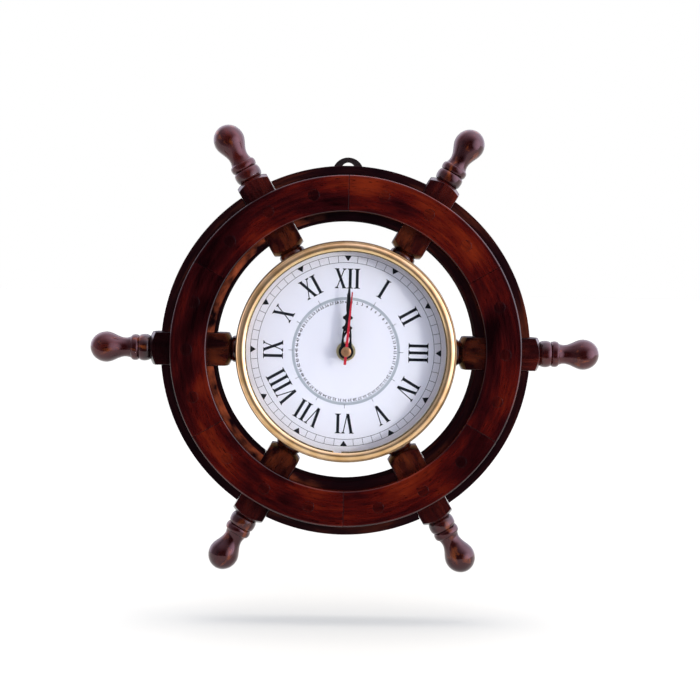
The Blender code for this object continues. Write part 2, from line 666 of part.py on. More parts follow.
def hand_loop(boss, knob):
    """Opening of the loop of a hand."""
    bottom = boss + 0.35 * HAND_LOOP_BAND
    top = knob - 3.2 * HAND_KNOB_RADIUS
    wide = HAND_LOOP_HALF_WIDTH - HAND_LOOP_BAND
    middle = boss + 0.5 * (top - boss)
    return mirrored([(0.0, bottom), (0.8 * wide, bottom + 0.2 * wide), (wide, middle), (0.0, top)])


def build_hands(carriers):
    """Hour, minute and second hands, each on the empty that it turns with."""
    red = finish("second_hand_red", "#b8142a", 0.35)
    copper = finish("cap_brass", "#c08a62", 0.25, 1.0)
    for name, boss, knob, reach, bore, back, rest in (
        ("hour", HOUR_BOSS_RADIUS, HOUR_KNOB_REACH, HOUR_HAND_REACH,
         HOUR_TUBE_RADIUS, HOUR_HAND_BACK, HOUR_REST_ANGLE),
        ("minute", MINUTE_BOSS_RADIUS, MINUTE_KNOB_REACH, MINUTE_HAND_REACH,
         MINUTE_TUBE_RADIUS, MINUTE_HAND_BACK, MINUTE_REST_ANGLE),
    ):
        holes = [circle(bore + 0.5 * RUNNING_GAP, SMALL_SIDES), hand_loop(boss, knob)]
        blade = plate(hand_outline(boss, knob, reach), holes, HAND_THICKNESS, back)
        material = finish(f"{name}_hand_black", "#17181d", 0.4)
        place(solid(f"{name}_hand", blade), material, carriers[name], turn=-rest)
    half = SECOND_HAND_HALF_WIDTH
    flank = math.acos(half / SECOND_BOSS_RADIUS)
    right = [(half, -SECOND_HAND_TAIL), *arc(SECOND_BOSS_RADIUS, -flank, flank, 6)]
    right += [(0.5 * half, SECOND_HAND_REACH)]
    hole = circle(ARBOR_RADIUS + 0.5 * RUNNING_GAP, SMALL_SIDES)
    blade = solid("second_hand", plate(mirrored(right), [hole], HAND_THICKNESS, SECOND_HAND_BACK))
    place(blade, red, carriers["second"], turn=-SECOND_REST_ANGLE)
    rim = CAP_BACK + 0.5 * CAP_HEIGHT
    socket = SECOND_HAND_BACK + HAND_THICKNESS + 0.5 * CAP_HEIGHT
    bore = ARBOR_RADIUS + 0.5 * RUNNING_GAP
    cap = [
        (0.0, socket + SEAT_GAP), (bore, socket + SEAT_GAP), (bore, CAP_BACK), (CAP_RADIUS, CAP_BACK),
        (CAP_RADIUS, rim), (0.7 * CAP_RADIUS, CAP_FRONT), (0.0, CAP_FRONT),
    ]
    place(solid("second_hand_cap", spun(cap, 16)), copper, carriers["second"], smooth=True)


# Movement

def bearing(spot, radius=ARBOR_RADIUS):
    """Outline of a bearing hole for an arbor."""
    return circle(radius + RUNNING_GAP, 8, spot)


def build_movement(root):
    """Movement case with its threaded bush, cover, washer, nut, battery and contacts."""
    plastic = finish("movement_plastic", "#1d1e20", 0.5)
    half = MOVEMENT_HALF_WIDTH
    depth = MOVEMENT_FRONT - MOVEMENT_BACK
    walls = rounded(-half, half, MOVEMENT_BOTTOM, MOVEMENT_TOP, MOVEMENT_CORNER)
    case = solid("movement_case", plate(walls, [], depth, MOVEMENT_BACK))
    chamber_left, chamber_right = -BAY_HALF_LENGTH, BAY_HALF_LENGTH
    chamber_bottom = -BAY_TOP + MOVEMENT_WALL
    chamber_top = MOVEMENT_TOP - MOVEMENT_WALL
    hollow = FLOOR - MOVEMENT_BACK + SEAT_GAP
    chamber = rectangle(chamber_left, chamber_right, chamber_bottom, chamber_top)
    bay = rectangle(chamber_left, chamber_right, -BAY_TOP - 2 * BAY_HALF_HEIGHT, -BAY_TOP)
    pockets = [plate(pocket, [], hollow, MOVEMENT_BACK - SEAT_GAP) for pocket in (chamber, bay)]
    combine(case, solid("pockets", merged(*pockets)), "DIFFERENCE")
    bush = plate(circle(BUSH_RADIUS, 16), [], BUSH_FRONT - FLOOR - JOIN_OVERLAP, FLOOR + JOIN_OVERLAP)
    post = STATOR_ARM / 2 - SEAT_GAP
    stator_front = stator_back() + STATOR_THICKNESS
    spots = [(stator_left() + STATOR_ARM / 2, 0.6 * STATOR_TOP)]
    spots += [(stator_left() + STATOR_WIDTH - STATOR_ARM / 2, 0.6 * STATOR_TOP)]
    length = FLOOR + JOIN_OVERLAP - stator_front - SEAT_GAP
    posts = [plate(circle(post, 8, spot), [], length, stator_front + SEAT_GAP) for spot in spots]
    combine(case, solid("raised", merged(bush, *posts)), "UNION")
    bore = circle(HOUR_TUBE_RADIUS + RUNNING_GAP, 16)
    drills = [plate(bore, [], BUSH_FRONT - FLOOR + 2 * OVERRUN, FLOOR - OVERRUN)]
    sunk = FLOOR - OVERRUN
    holes = [bearing(spot) for spot in (THIRD_PLACE, FIFTH_PLACE, ROTOR_PLACE)]
    holes.append(bearing(SETTING_PLACE, SETTING_STEM_RADIUS))
    drills += [plate(hole, [], OVERRUN + 0.7 * MOVEMENT_WALL, sunk) for hole in holes]
    combine(case, solid("drills", merged(*drills)), "DIFFERENCE")
    place(case, plastic, root)

    cover_top = chamber_top - SEAT_GAP
    cover_outline = rectangle(
        chamber_left + SEAT_GAP, chamber_right - SEAT_GAP, chamber_bottom + SEAT_GAP, cover_top)
    holes = [bearing(spot) for spot in ((0.0, 0.0), THIRD_PLACE, FIFTH_PLACE, ROTOR_PLACE)]
    holes.append(circle(KNOB_RADIUS + RUNNING_GAP, 16, SETTING_PLACE))
    cover = solid("movement_cover", plate(cover_outline, holes, MOVEMENT_WALL, MOVEMENT_BACK))
    place(cover, finish("cover_plastic", "#232427", 0.55), root)

    hole = circle(BUSH_RADIUS + RUNNING_GAP, 16)
    washer = solid("brass_washer", plate(circle(WASHER_RADIUS, 24), [hole], WASHER_THICKNESS, WASHER_BACK))
    place(washer, finish("washer_brass", "#b9a56e", 0.35, 1.0), root)
    nut = solid("hex_nut", plate(circle(NUT_RADIUS, 6), [hole], NUT_HEIGHT, NUT_BACK))
    place(nut, finish("nut_brass", "#b08d4f", 0.3, 1.0), root)

    axis = FLOOR - SEAT_GAP - BATTERY_RADIUS
    battery_end = BATTERY_SHOULDER - BATTERY_BODY_LENGTH
    cell = [
        (0.0, battery_end), (BATTERY_RADIUS, battery_end), (BATTERY_RADIUS, BATTERY_SHOULDER),
        (BATTERY_NUB_RADIUS, BATTERY_SHOULDER), (BATTERY_NUB_RADIUS, BATTERY_SHOULDER + BATTERY_NUB_LENGTH),
        (0.0, BATTERY_SHOULDER + BATTERY_NUB_LENGTH),
    ]
    battery = solid("battery", along_x(spun(cell, 20)))
    place(battery, finish("battery_sleeve", "#2f4f7a", 0.35), root, (0.0, BAY_AXIS, axis), smooth=True)
    contact = CONTACT_WIDTH / 2
    spring = finish("contact_steel", "#b8bcc0", 0.25, 1.0)
    tab = rectangle(POSITIVE_FACE, POSITIVE_FACE + CONTACT_THICKNESS, BAY_AXIS - contact, BAY_AXIS + contact)
    part = solid("contact_positive", plate(tab, [], CONTACT_WIDTH, axis - contact))
    place(part, finish("positive_contact_steel", "#b8bcc0", 0.25, 1.0), root)
    leaf = 1.5 * contact
    heel = NEGATIVE_FACE - CONTACT_SPRING
    bow = [(heel, BAY_AXIS - leaf), (NEGATIVE_FACE, BAY_AXIS), (heel, BAY_AXIS + leaf)]
    bow += [(x - CONTACT_THICKNESS, y) for x, y in reversed(bow)]
    part = solid("contact_negative", plate(bow, [], CONTACT_WIDTH, axis - contact))
    place(part, spring, root)


# Wheel train

def gear(teeth, radius, phase):
    """Outline of a toothed wheel of a given pitch radius, one tooth at the phase angle."""
    module = 2 * radius / teeth
    tip = radius + TOOTH_RISE * module
    root = radius - TOOTH_DROP * module
    step = math.tau / teeth
    outline = []
    for tooth in range(teeth):
        middle = phase + tooth * step
        outline += arc(tip, middle - TOOTH_TIP_SHARE * step / 2, middle + TOOTH_TIP_SHARE * step / 2, 1)
        outline += arc(root, middle + step / 2, middle + step / 2, 1)[:1]
    return outline


def pair(distance, driver_teeth, driven_teeth, direction):
    """Pitch radii of two meshing wheels, and the driven wheel's phase for a driver at phase 0."""
    driver = distance * driver_teeth / (driver_teeth + driven_teeth)
    phase = direction + math.pi + math.pi / driven_teeth + direction * driver_teeth / driven_teeth
    return driver, distance - driver, phase


def wheel(teeth, radius, phase, number, holes=()):
    """Bmesh of a toothed wheel on a level of the train."""
    return plate(gear(teeth, radius, phase), list(holes), WHEEL_THICKNESS, level(number) - WHEEL_THICKNESS)


def arbor(back, front, radius=ARBOR_RADIUS):
    """Bmesh of a plain arbor."""
    return plate(circle(radius, 8), [], front - back, back)


def stator_left():
    """Left side of the stator."""
    return ROTOR_PLACE[0] - MAGNET_RADIUS - RUNNING_GAP - STATOR_RIM


def stator_back():
    """Back face of the stator, half way along the rotor's magnet."""
    return level(5) - WHEEL_THICKNESS + 0.5 * MAGNET_LENGTH


def compound(name, first, *others):
    """One solid of several overlapping wheels and arbors."""
    whole = solid(name, first)
    for other in others:
        combine(whole, solid("other", other), "UNION")
    return whole


def build_train(carriers):
    """Motion work to the hands and the going train from the rotor, in mesh."""
    nylon = ("#e7e3d6", 0.5)
    back = COVER_FRONT - 0.6 * MOVEMENT_WALL
    front = FLOOR + 0.5 * MOVEMENT_WALL
    cannon, setting, setting_phase = pair(SETTING_DISTANCE, CANNON_TEETH, SETTING_TEETH, SETTING_ANGLE)
    toward_hour = SETTING_ANGLE + math.pi
    pinion, hour, hour_phase = pair(SETTING_DISTANCE, SETTING_PINION_TEETH, HOUR_TEETH, toward_hour)
    second_pinion, third, third_phase = pair(
        THIRD_DISTANCE, SECOND_PINION_TEETH, THIRD_TEETH, THIRD_ANGLE)
    third_pinion, centre, centre_phase = pair(
        THIRD_DISTANCE, THIRD_PINION_TEETH, CENTRE_TEETH, THIRD_ANGLE + math.pi)
    second, fifth_pinion, fifth_phase = pair(
        FIFTH_DISTANCE, SECOND_TEETH, FIFTH_PINION_TEETH, FIFTH_ANGLE)
    fifth, rotor_pinion, rotor_phase = pair(
        ROTOR_DISTANCE, FIFTH_TEETH, ROTOR_PINION_TEETH, ROTOR_ANGLE)

    tube_bore = circle(HOUR_TUBE_BORE, SMALL_SIDES)
    hour_front = HOUR_HAND_BACK + HAND_THICKNESS + SEAT_GAP
    tube_back = level(1) - 0.5 * WHEEL_THICKNESS
    tube = plate(circle(HOUR_TUBE_RADIUS, SMALL_SIDES), [], hour_front - tube_back, tube_back)
    part = compound("hour_wheel", wheel(HOUR_TEETH, hour, hour_phase, 1), tube)
    bore_back = level(2) + 0.3 * LEVEL_GAP
    drill = plate(tube_bore, [], hour_front + OVERRUN - bore_back, bore_back)
    combine(part, solid("bore", drill), "DIFFERENCE")
    place(part, finish("hour_wheel_nylon", *nylon), carriers["hour"])

    minute_front = MINUTE_HAND_BACK + HAND_THICKNESS + SEAT_GAP
    minute_back = level(3) - WHEEL_THICKNESS - 0.5 * LEVEL_GAP
    tube = plate(circle(MINUTE_TUBE_RADIUS, SMALL_SIDES), [], minute_front - minute_back, minute_back)
    part = compound("cannon_pinion", tube, wheel(CANNON_TEETH, cannon, 0.0, 2))
    bore = circle(MINUTE_TUBE_BORE, SMALL_SIDES)
    drill = plate(bore, [], minute_front - minute_back + 2 * OVERRUN, minute_back - OVERRUN)
    combine(part, solid("bore", drill), "DIFFERENCE")
    place(part, finish("cannon_pinion_nylon", *nylon), carriers["minute"])

    knob_front = COVER_FRONT + 0.5 * LEVEL_GAP
    ribs = gear(KNOB_RIBS, KNOB_RADIUS / (1 + 2 * TOOTH_RISE / KNOB_RIBS), 0.0)
    knob_back = MOVEMENT_BACK - KNOB_REACH
    knob = plate(ribs, [], knob_front - knob_back, knob_back)
    stem = arbor(knob_front - JOIN_OVERLAP, front, SETTING_STEM_RADIUS)
    part = compound("setting_wheel", knob, stem, wheel(SETTING_TEETH, setting, setting_phase, 2),
                    wheel(SETTING_PINION_TEETH, pinion, 0.0, 1))
    place(part, finish("setting_wheel_nylon", "#d8d4c8", 0.5), carriers["setting"])

    hole = circle(MINUTE_TUBE_RADIUS + RUNNING_GAP, SMALL_SIDES)
    part = solid("centre_wheel", wheel(CENTRE_TEETH, centre, centre_phase, 3, [hole]))
    place(part, finish("centre_wheel_nylon", *nylon), carriers["centre"])

    part = compound("third_wheel", arbor(back, front), wheel(THIRD_TEETH, third, third_phase, 4),
                    wheel(THIRD_PINION_TEETH, third_pinion, 0.0, 3))
    place(part, finish("third_wheel_nylon", *nylon), carriers["third"])

    arbor_front = CAP_BACK + 0.5 * CAP_HEIGHT
    part = compound("second_wheel", arbor(back, arbor_front), wheel(SECOND_TEETH, second, 0.0, 5),
                    wheel(SECOND_PINION_TEETH, second_pinion, 0.0, 4))
    place(part, finish("second_wheel_nylon", *nylon), carriers["second"])

    part = compound("fifth_wheel", arbor(back, front), wheel(FIFTH_TEETH, fifth, 0.0, 6),
                    wheel(FIFTH_PINION_TEETH, fifth_pinion, fifth_phase, 5))
    place(part, finish("fifth_wheel_nylon", *nylon), carriers["fifth"])

    magnet_back = stator_back() + STATOR_THICKNESS / 2 - MAGNET_LENGTH / 2
    magnet = plate(circle(MAGNET_RADIUS, SMALL_SIDES), [], MAGNET_LENGTH, magnet_back)
    part = compound("rotor", arbor(back, front), magnet,
                    wheel(ROTOR_PINION_TEETH, rotor_pinion, rotor_phase, 6))
    place(part, finish("rotor_ferrite", "#3b3b3e", 0.45, 0.3), carriers["rotor"])


def build_motor(root):
    """Stator round the rotor, the coil on its far limb, and the circuit board."""
    left = stator_left()
    right = left + STATOR_WIDTH
    bottom = ROTOR_PLACE[1] - MAGNET_RADIUS - RUNNING_GAP - STATOR_RIM
    shelf = ROTOR_PLACE[1] + MAGNET_RADIUS + RUNNING_GAP + STATOR_RIM
    hole = circle(MAGNET_RADIUS + 2 * RUNNING_GAP, SMALL_SIDES, ROTOR_PLACE)
    window = rectangle(left + STATOR_ARM, right - STATOR_ARM, shelf, STATOR_TOP - STATOR_ARM)
    sheet = plate(rectangle(left, right, bottom, STATOR_TOP), [hole, window], STATOR_THICKNESS, stator_back())
    place(solid("stator", sheet), finish("stator_steel", "#8b8f95", 0.4, 1.0), root)
    limb = STATOR_TOP - STATOR_ARM / 2
    middle = stator_back() + STATOR_THICKNESS / 2
    start = left + STATOR_ARM + SEAT_GAP
    length = STATOR_WIDTH - 2 * (STATOR_ARM + SEAT_GAP)
    high, deep = COIL_HEIGHT / 2, COIL_DEPTH / 2
    slot_high, slot_deep = STATOR_ARM / 2 + SEAT_GAP, STATOR_THICKNESS / 2 + SEAT_GAP
    winding = plate(rounded(-deep, deep, -high, high, COIL_CORNER),
                    [rectangle(-slot_deep, slot_deep, -slot_high, slot_high)], length)
    coil = solid("coil", moved(along_x(winding), start, limb, middle))
    place(coil, finish("coil_copper", "#9c4a1c", 0.35, 0.6), root)
    board_left = -BAY_HALF_LENGTH + MOVEMENT_WALL
    board_top = MOVEMENT_TOP - 2 * MOVEMENT_WALL
    outline = rectangle(board_left, board_left + BOARD_WIDTH, board_top - BOARD_HEIGHT, board_top)
    board = solid("circuit_board", plate(outline, [], BOARD_THICKNESS, FLOOR - SEAT_GAP - BOARD_THICKNESS))
    place(board, finish("board_green", "#2c5a35", 0.45), root)


# Whole clock

def empty(name, parent, spot=(0.0, 0.0, 0.0)):
    """Empty that carries what turns round one axis."""
    carrier = bpy.data.objects.new(name, None)
    bpy.context.collection.objects.link(carrier)
    carrier.parent = parent
    carrier.location = spot
    return carrier


def main():
    """Clears the scene and builds the clock."""
    for thing in list(bpy.data.objects):
        bpy.data.objects.remove(thing)
    root = empty("clock", None, (0.0, DEPTH / 2, 0.0))
    root.rotation_euler = (math.pi / 2, 0.0, 0.0)
    places = {
        "hour": (0.0, 0.0), "minute": (0.0, 0.0), "second": (0.0, 0.0), "centre": (0.0, 0.0),
        "setting": SETTING_PLACE, "third": THIRD_PLACE, "fifth": FIFTH_PLACE, "rotor": ROTOR_PLACE,
    }
    carriers = {name: empty(f"{name}_axis", root, (*spot, 0.0)) for name, spot in places.items()}
    build_wheel(root)
    build_hanger(root)
    build_case(root)
    build_front(root)
    build_hands(carriers)
    build_movement(root)
    build_train(carriers)
    build_motor(root)


main()
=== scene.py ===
"""Looks of the ship wheel wall clock: turned and lacquered wheel, brass case, printed dial, hands, movement."""

import logging
import math
from dataclasses import dataclass, field
from enum import Enum
from typing import Iterator, Optional, Sequence, Union

import bpy
from mathutils import Matrix, Vector


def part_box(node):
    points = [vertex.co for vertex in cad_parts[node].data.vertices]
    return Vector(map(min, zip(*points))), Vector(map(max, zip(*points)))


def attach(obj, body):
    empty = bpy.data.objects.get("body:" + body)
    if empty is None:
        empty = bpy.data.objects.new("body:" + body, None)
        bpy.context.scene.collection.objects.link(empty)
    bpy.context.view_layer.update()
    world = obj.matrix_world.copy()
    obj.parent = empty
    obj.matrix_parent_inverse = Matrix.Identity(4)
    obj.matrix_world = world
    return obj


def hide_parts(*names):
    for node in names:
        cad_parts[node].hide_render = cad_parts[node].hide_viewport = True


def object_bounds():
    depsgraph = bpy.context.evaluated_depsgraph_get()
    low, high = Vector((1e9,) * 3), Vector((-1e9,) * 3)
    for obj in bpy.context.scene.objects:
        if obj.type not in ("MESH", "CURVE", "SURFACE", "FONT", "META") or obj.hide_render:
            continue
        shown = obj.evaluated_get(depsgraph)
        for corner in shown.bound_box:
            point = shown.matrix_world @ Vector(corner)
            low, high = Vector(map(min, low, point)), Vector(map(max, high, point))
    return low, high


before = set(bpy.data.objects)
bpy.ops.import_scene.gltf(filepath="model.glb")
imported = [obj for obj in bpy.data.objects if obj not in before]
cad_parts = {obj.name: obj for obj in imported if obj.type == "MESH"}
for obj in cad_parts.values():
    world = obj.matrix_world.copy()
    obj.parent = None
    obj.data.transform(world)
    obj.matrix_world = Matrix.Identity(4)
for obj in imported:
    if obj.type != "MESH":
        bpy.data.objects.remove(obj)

CAD_LOW, CAD_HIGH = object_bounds()
WALL = CAD_HIGH.y
MM = 0.001
GAP = 0.3 * MM
RIM_RADIUS = 117.0 * MM
log = logging.getLogger("ship_wheel_clock")

Piece = bpy.types.Object
Tree = bpy.types.NodeTree
Socket = bpy.types.NodeSocket
Point = tuple[float, float]
Triple = tuple[float, float, float]


class Body(str, Enum):
    """The moving groups that pieces ride on."""

    FRAME = "frame"
    HOUR = "hour_train"
    MINUTE = "minute_train"
    SECOND = "second_train"


class Grain(Enum):
    """Which way the wood fibres of a piece run before it is turned to its place."""

    ALONG_X = "straight along a turned spoke"
    ALONG_ARC = "round the rim, in a bent board"


# Materials

def linear(code: str) -> tuple[float, float, float, float]:
    """Turns an sRGB hex colour to the linear colour that a shader takes.

    Args:
        code: Colour as "#rrggbb".

    Returns:
        Linear red, green and blue, and an alpha of 1.
    """
    channels = [int(code[start:start + 2], 16) / 255 for start in (1, 3, 5)]
    return (*(c / 12.92 if c <= 0.04045 else ((c + 0.055) / 1.055) ** 2.4 for c in channels), 1.0)


def per(length: float) -> float:
    """Pattern scale at which one feature is this long."""
    return 1.0 / length


def add(tree: Tree, kind: str, inputs: Optional[dict] = None, stops: Sequence[tuple[float, str]] = (),
        out: Union[int, str] = 0, **settings) -> Optional[Socket]:
    """Adds one shader node with its settings and links.

    Args:
        tree: Node tree that the node joins.
        kind: Node type without the ShaderNode prefix.
        inputs: Values or sockets by input name or number.
        stops: Places and hex colours of a colour ramp.
        out: Name or number of the output to give back.
        settings: Node properties by name.

    Returns:
        The output's socket, or None for a node that has no outputs.
    """
    node = tree.nodes.new(f"ShaderNode{kind}")
    for key, value in settings.items():
        setattr(node, key, value)
    for number, (place, code) in enumerate(stops):
        ramp = node.color_ramp.elements
        stop = ramp[number] if number < 2 else ramp.new(place)
        stop.position, stop.color = place, linear(code)
    for key, value in (inputs or {}).items():
        if isinstance(value, Socket):
            tree.links.new(value, node.inputs[key])
        else:
            node.inputs[key].default_value = value
    return node.outputs[out] if len(node.outputs) else None


def axis_distance(tree: Tree) -> Socket:
    """Adds the nodes that measure how far a point is from the clock's axis.

    Args:
        tree: Node tree that the nodes join.

    Returns:
        The distance.
    """
    place = add(tree, "TexCoord", out="Object")
    across = add(tree, "VectorMath", {0: place, 1: (1.0, 0.0, 1.0)}, operation="MULTIPLY")
    return add(tree, "VectorMath", {0: across}, operation="LENGTH", out="Value")


@dataclass(frozen=True)
class Finish:
    """A surface finish, made into one material when it is first used."""

    name: str

    def material(self) -> bpy.types.Material:
        """Gives the finish's material.

        Returns:
            The material, built on the first call.
        """
        made = bpy.data.materials.get(self.name)
        if made is None:
            made = bpy.data.materials.new(self.name)
            made.use_nodes = True
            tree = made.node_tree
            tree.nodes.clear()
            add(tree, "OutputMaterial", {"Surface": self.shade(tree)})
        return made

    def shade(self, tree: Tree) -> Socket:
        """Builds the shader and gives its output socket."""
        raise NotImplementedError


@dataclass(frozen=True)
class LacqueredWood(Finish):
    """Sheesham stained dark and sprayed with gloss lacquer: blotchy reddish brown under a clear, wavy coat.

    Ends of wear, the band of painted light and the radius of dust lie off the wood unless a finish sets them.
    """

    shadow: str = "#0a0102"
    dark: str = "#210405"
    mid: str = "#3a0805"
    light: str = "#5a1908"
    lacquer: float = 1.0
    lacquer_roughness: float = 0.08
    # Bare brown where the stain is thin; on the felloes also the painted light on the inner step.
    thin: str = "#4e1d0a"
    thin_end: Point = (-1.0, -2.0)
    # Painted light: where the inner step is painted pale brown, as if lit from the right.
    scuffed_band: Point = (0.0, 0.0)
    scuffed_side: Point = (-15 * MM, -60 * MM)
    handled: str = "#230907"
    handled_end: Point = (1.0, 2.0)
    handled_lacquer: float = 0.3
    glint: str = "#7a3a12"
    bloom: str = "#ffb8c4"
    bloom_level: float = 0.55
    dusty_radius: float = -1.0
    blotch: float = 28 * MM
    streak: float = 2.6 * MM
    # Real pores are about half as wide. These are as coarse as they need to be to show.
    pore: float = 0.55 * MM
    pore_depth: float = 0.06 * MM
    wear: float = 7 * MM
    wave: float = 9 * MM
    wave_depth: float = 0.2 * MM

    def shade(self, tree: Tree) -> Socket:
        """Builds stain blotches, fibre streaks, pores, wear and the lacquer.

        Args:
            tree: Node tree of the material.

        Returns:
            The shader's output.
        """
        fibre = add(tree, "Attribute", attribute_name="grain", out="Vector")
        # The fibres run along the pattern's x, so streaks are ten times as long as they are wide.
        drawn = add(tree, "Mapping", {"Vector": fibre, "Scale": (0.1, 1.0, 1.0)})
        slow = add(tree, "Mapping", {"Vector": fibre, "Scale": (0.45, 1.0, 1.0)})
        blotch = add(tree, "TexNoise", {
            "Vector": slow, "Scale": per(self.blotch), "Detail": 2.5, "Distortion": 0.3})
        streak = add(tree, "TexNoise", {
            "Vector": drawn, "Scale": per(self.streak), "Detail": 5.0, "Roughness": 0.62})
        pore = add(tree, "TexNoise", {"Vector": drawn, "Scale": per(self.pore), "Detail": 2.0})
        sunk = add(tree, "MapRange", {0: pore, 1: 0.60, 2: 0.72})
        share = add(tree, "Math", {0: streak, 1: 0.3}, operation="MULTIPLY")
        tone = add(tree, "Math", {0: blotch, 1: 0.7, 2: share}, operation="MULTIPLY_ADD")
        stain = add(tree, "ValToRGB", {"Fac": tone}, stops=(
            (0.33, self.shadow), (0.45, self.dark), (0.54, self.mid), (0.67, self.light)))
        worn = add(tree, "TexNoise", {"Vector": slow, "Scale": per(self.wear), "Detail": 3.0})
        along = add(tree, "SeparateXYZ", {0: fibre}, out="X")
        radius = axis_distance(tree)
        grip = add(tree, "MapRange", {0: along, 1: self.handled_end[0], 2: self.handled_end[1]})
        # Thin stain near the case, and painted light on the felloes' inner step.
        bare = self.rub_thin(tree, stain, worn, along, radius)
        held = self.handle(tree, bare, worn, grip)
        wood = add(tree, "Mix", {0: sunk, 6: held, 7: linear(self.shadow)}, out=2, data_type="RGBA")
        # Hands wear the lacquer off the handles, and dust dulls it inside a radius.
        clear_coat = add(tree, "MapRange", {0: grip, 3: self.lacquer, 4: self.handled_lacquer})
        clean = add(tree, "MapRange", {
            0: radius, 1: self.dusty_radius, 2: self.dusty_radius + MM, 3: 0.15, 4: 1.0})
        clear_coat = add(tree, "Math", {0: clear_coat, 1: clean}, operation="MULTIPLY")
        haze = add(tree, "Math", {0: grip, 1: self.bloom_level}, operation="MULTIPLY")
        matt = add(tree, "MapRange", {0: streak, 3: 0.10, 4: 0.20})
        wave = add(tree, "TexNoise", {"Vector": fibre, "Scale": per(self.wave), "Detail": 1.0})
        open_pores = add(tree, "Bump", {
            "Height": sunk, "Strength": 0.35, "Distance": self.pore_depth}, invert=True)
        skin = add(tree, "Bump", {"Height": wave, "Strength": 0.3, "Distance": self.wave_depth})
        return add(tree, "BsdfPrincipled", {
            "Base Color": wood, "Roughness": matt, "IOR": 1.5, "Normal": open_pores,
            "Specular IOR Level": haze, "Specular Tint": linear(self.bloom),
            "Coat Weight": clear_coat, "Coat Roughness": self.lacquer_roughness, "Coat IOR": 1.5,
            "Coat Normal": skin})

    def rub_thin(self, tree: Tree, stain: Socket, worn: Socket, along: Socket, radius: Socket) -> Socket:
        """Thins the stain close to the case, and paints light on the step inside the rim's left half.

        Args:
            tree: Node tree of the material.
            stain: Colour of the stained wood.
            worn: Noise that leaves patches of stain.
            along: Place along the fibres.
            radius: Distance from the clock's axis.

        Returns:
            The colour with the bare brown of the wood showing through, and the painted light on the step.
        """
        end = add(tree, "MapRange", {0: along, 1: self.thin_end[0], 2: self.thin_end[1]})
        # Painted light: pale brown on the inner step's left half only, where light from the right falls.
        middle, half = self.scuffed_band
        step = add(tree, "Math", {0: radius, 1: middle, 2: half}, operation="COMPARE")
        across = add(tree, "SeparateXYZ", {0: add(tree, "TexCoord", out="Object")}, out="X")
        left = add(tree, "MapRange", {0: across, 1: self.scuffed_side[0], 2: self.scuffed_side[1]})
        end = add(tree, "Math", {0: step, 1: left, 2: end}, operation="MULTIPLY_ADD")
        patch = add(tree, "MapRange", {0: worn, 1: 0.38, 2: 0.70})
        rubbed = add(tree, "Math", {0: end, 1: patch}, operation="MULTIPLY")
        return add(tree, "Mix", {0: rubbed, 6: stain, 7: linear(self.thin)}, out=2, data_type="RGBA")

    def handle(self, tree: Tree, wood: Socket, worn: Socket, grip: Socket) -> Socket:
        """Darkens the handles where hands have held them, with small spots of bare brown.

        Args:
            tree: Node tree of the material.
            wood: Colour of the wood so far.
            worn: Noise that places the wear.
            grip: Share of handling, 1 on the handles.

        Returns:
            The handled colour.
        """
        for tone, wear in ((self.handled, {1: 0.38, 2: 0.64, 3: 0.05, 4: 1.0}),
                           (self.glint, {1: 0.57, 2: 0.68, 3: 0.0, 4: 0.55})):
            share = add(tree, "MapRange", {0: worn, **wear})
            share = add(tree, "Math", {0: grip, 1: share}, operation="MULTIPLY")
            wood = add(tree, "Mix", {0: share, 6: wood, 7: linear(tone)}, out=2, data_type="RGBA")
        return wood


@dataclass(frozen=True)
class SpunBrass(Finish):
    """Spun and lacquered brass: warm yellow metal with fine rings left by the tool and cloudy polish."""

    tone: str = "#e6c294"
    worn: str = "#d0a670"
    polished: str = "#d9bd90"
    tarnished: str = "#7c5c40"
    bare: float = 0.9
    buffed: float = 0.0
    buffed_share: float = 0.4
    rim: float = 1.0
    roughness: float = 0.32
    # The tool's real rings lie closer. These are as coarse as they need to be to show.
    ring: float = 0.5 * MM
    cloud: float = 12 * MM
    tool_depth: float = 0.03 * MM

    def shade(self, tree: Tree) -> Socket:
        """Builds tool rings about the clock's axis and clouds of polish.

        Args:
            tree: Node tree of the material.

        Returns:
            The shader's output.
        """
        place = add(tree, "TexCoord", out="Object")
        radius = axis_distance(tree)
        depth = add(tree, "SeparateXYZ", {0: place}, out="Y")
        track = add(tree, "CombineXYZ", {"X": radius, "Y": depth})
        rings = add(tree, "TexNoise", {"Vector": track, "Scale": per(self.ring), "Detail": 4.0})
        cloud = add(tree, "TexNoise", {"Vector": place, "Scale": per(self.cloud), "Detail": 3.0})
        polish = add(tree, "MapRange", {0: cloud, 1: 0.35, 2: 0.65})
        metal = add(tree, "Mix", {
            0: polish, 6: linear(self.worn), 7: linear(self.tone)}, out=2, data_type="RGBA")
        rough = add(tree, "MapRange", {0: rings, 3: self.roughness - 0.07, 4: self.roughness + 0.09})
        # Inside this radius the lip is buffed to a mirror.
        duller = add(tree, "MapRange", {0: radius, 1: self.buffed - 0.6 * MM, 2: self.buffed + 0.6 * MM})
        bright = add(tree, "MapRange", {0: duller, 3: self.buffed_share, 4: 1.0})
        rough = add(tree, "Math", {0: rough, 1: bright}, operation="MULTIPLY")
        metal = add(tree, "Mix", {0: duller, 6: linear(self.polished), 7: metal}, out=2, data_type="RGBA")
        # Darker brown beyond the rim radius, out to the outer edge.
        edge = add(tree, "MapRange", {0: radius, 1: self.rim - 0.6 * MM, 2: self.rim + 0.4 * MM})
        metal = add(tree, "Mix", {0: edge, 6: metal, 7: linear(self.tarnished)}, out=2, data_type="RGBA")
        tool = add(tree, "Bump", {"Height": rings, "Strength": 0.12, "Distance": self.tool_depth})
        return add(tree, "BsdfPrincipled", {
            "Base Color": metal, "Metallic": self.bare, "Roughness": rough, "Normal": tool})


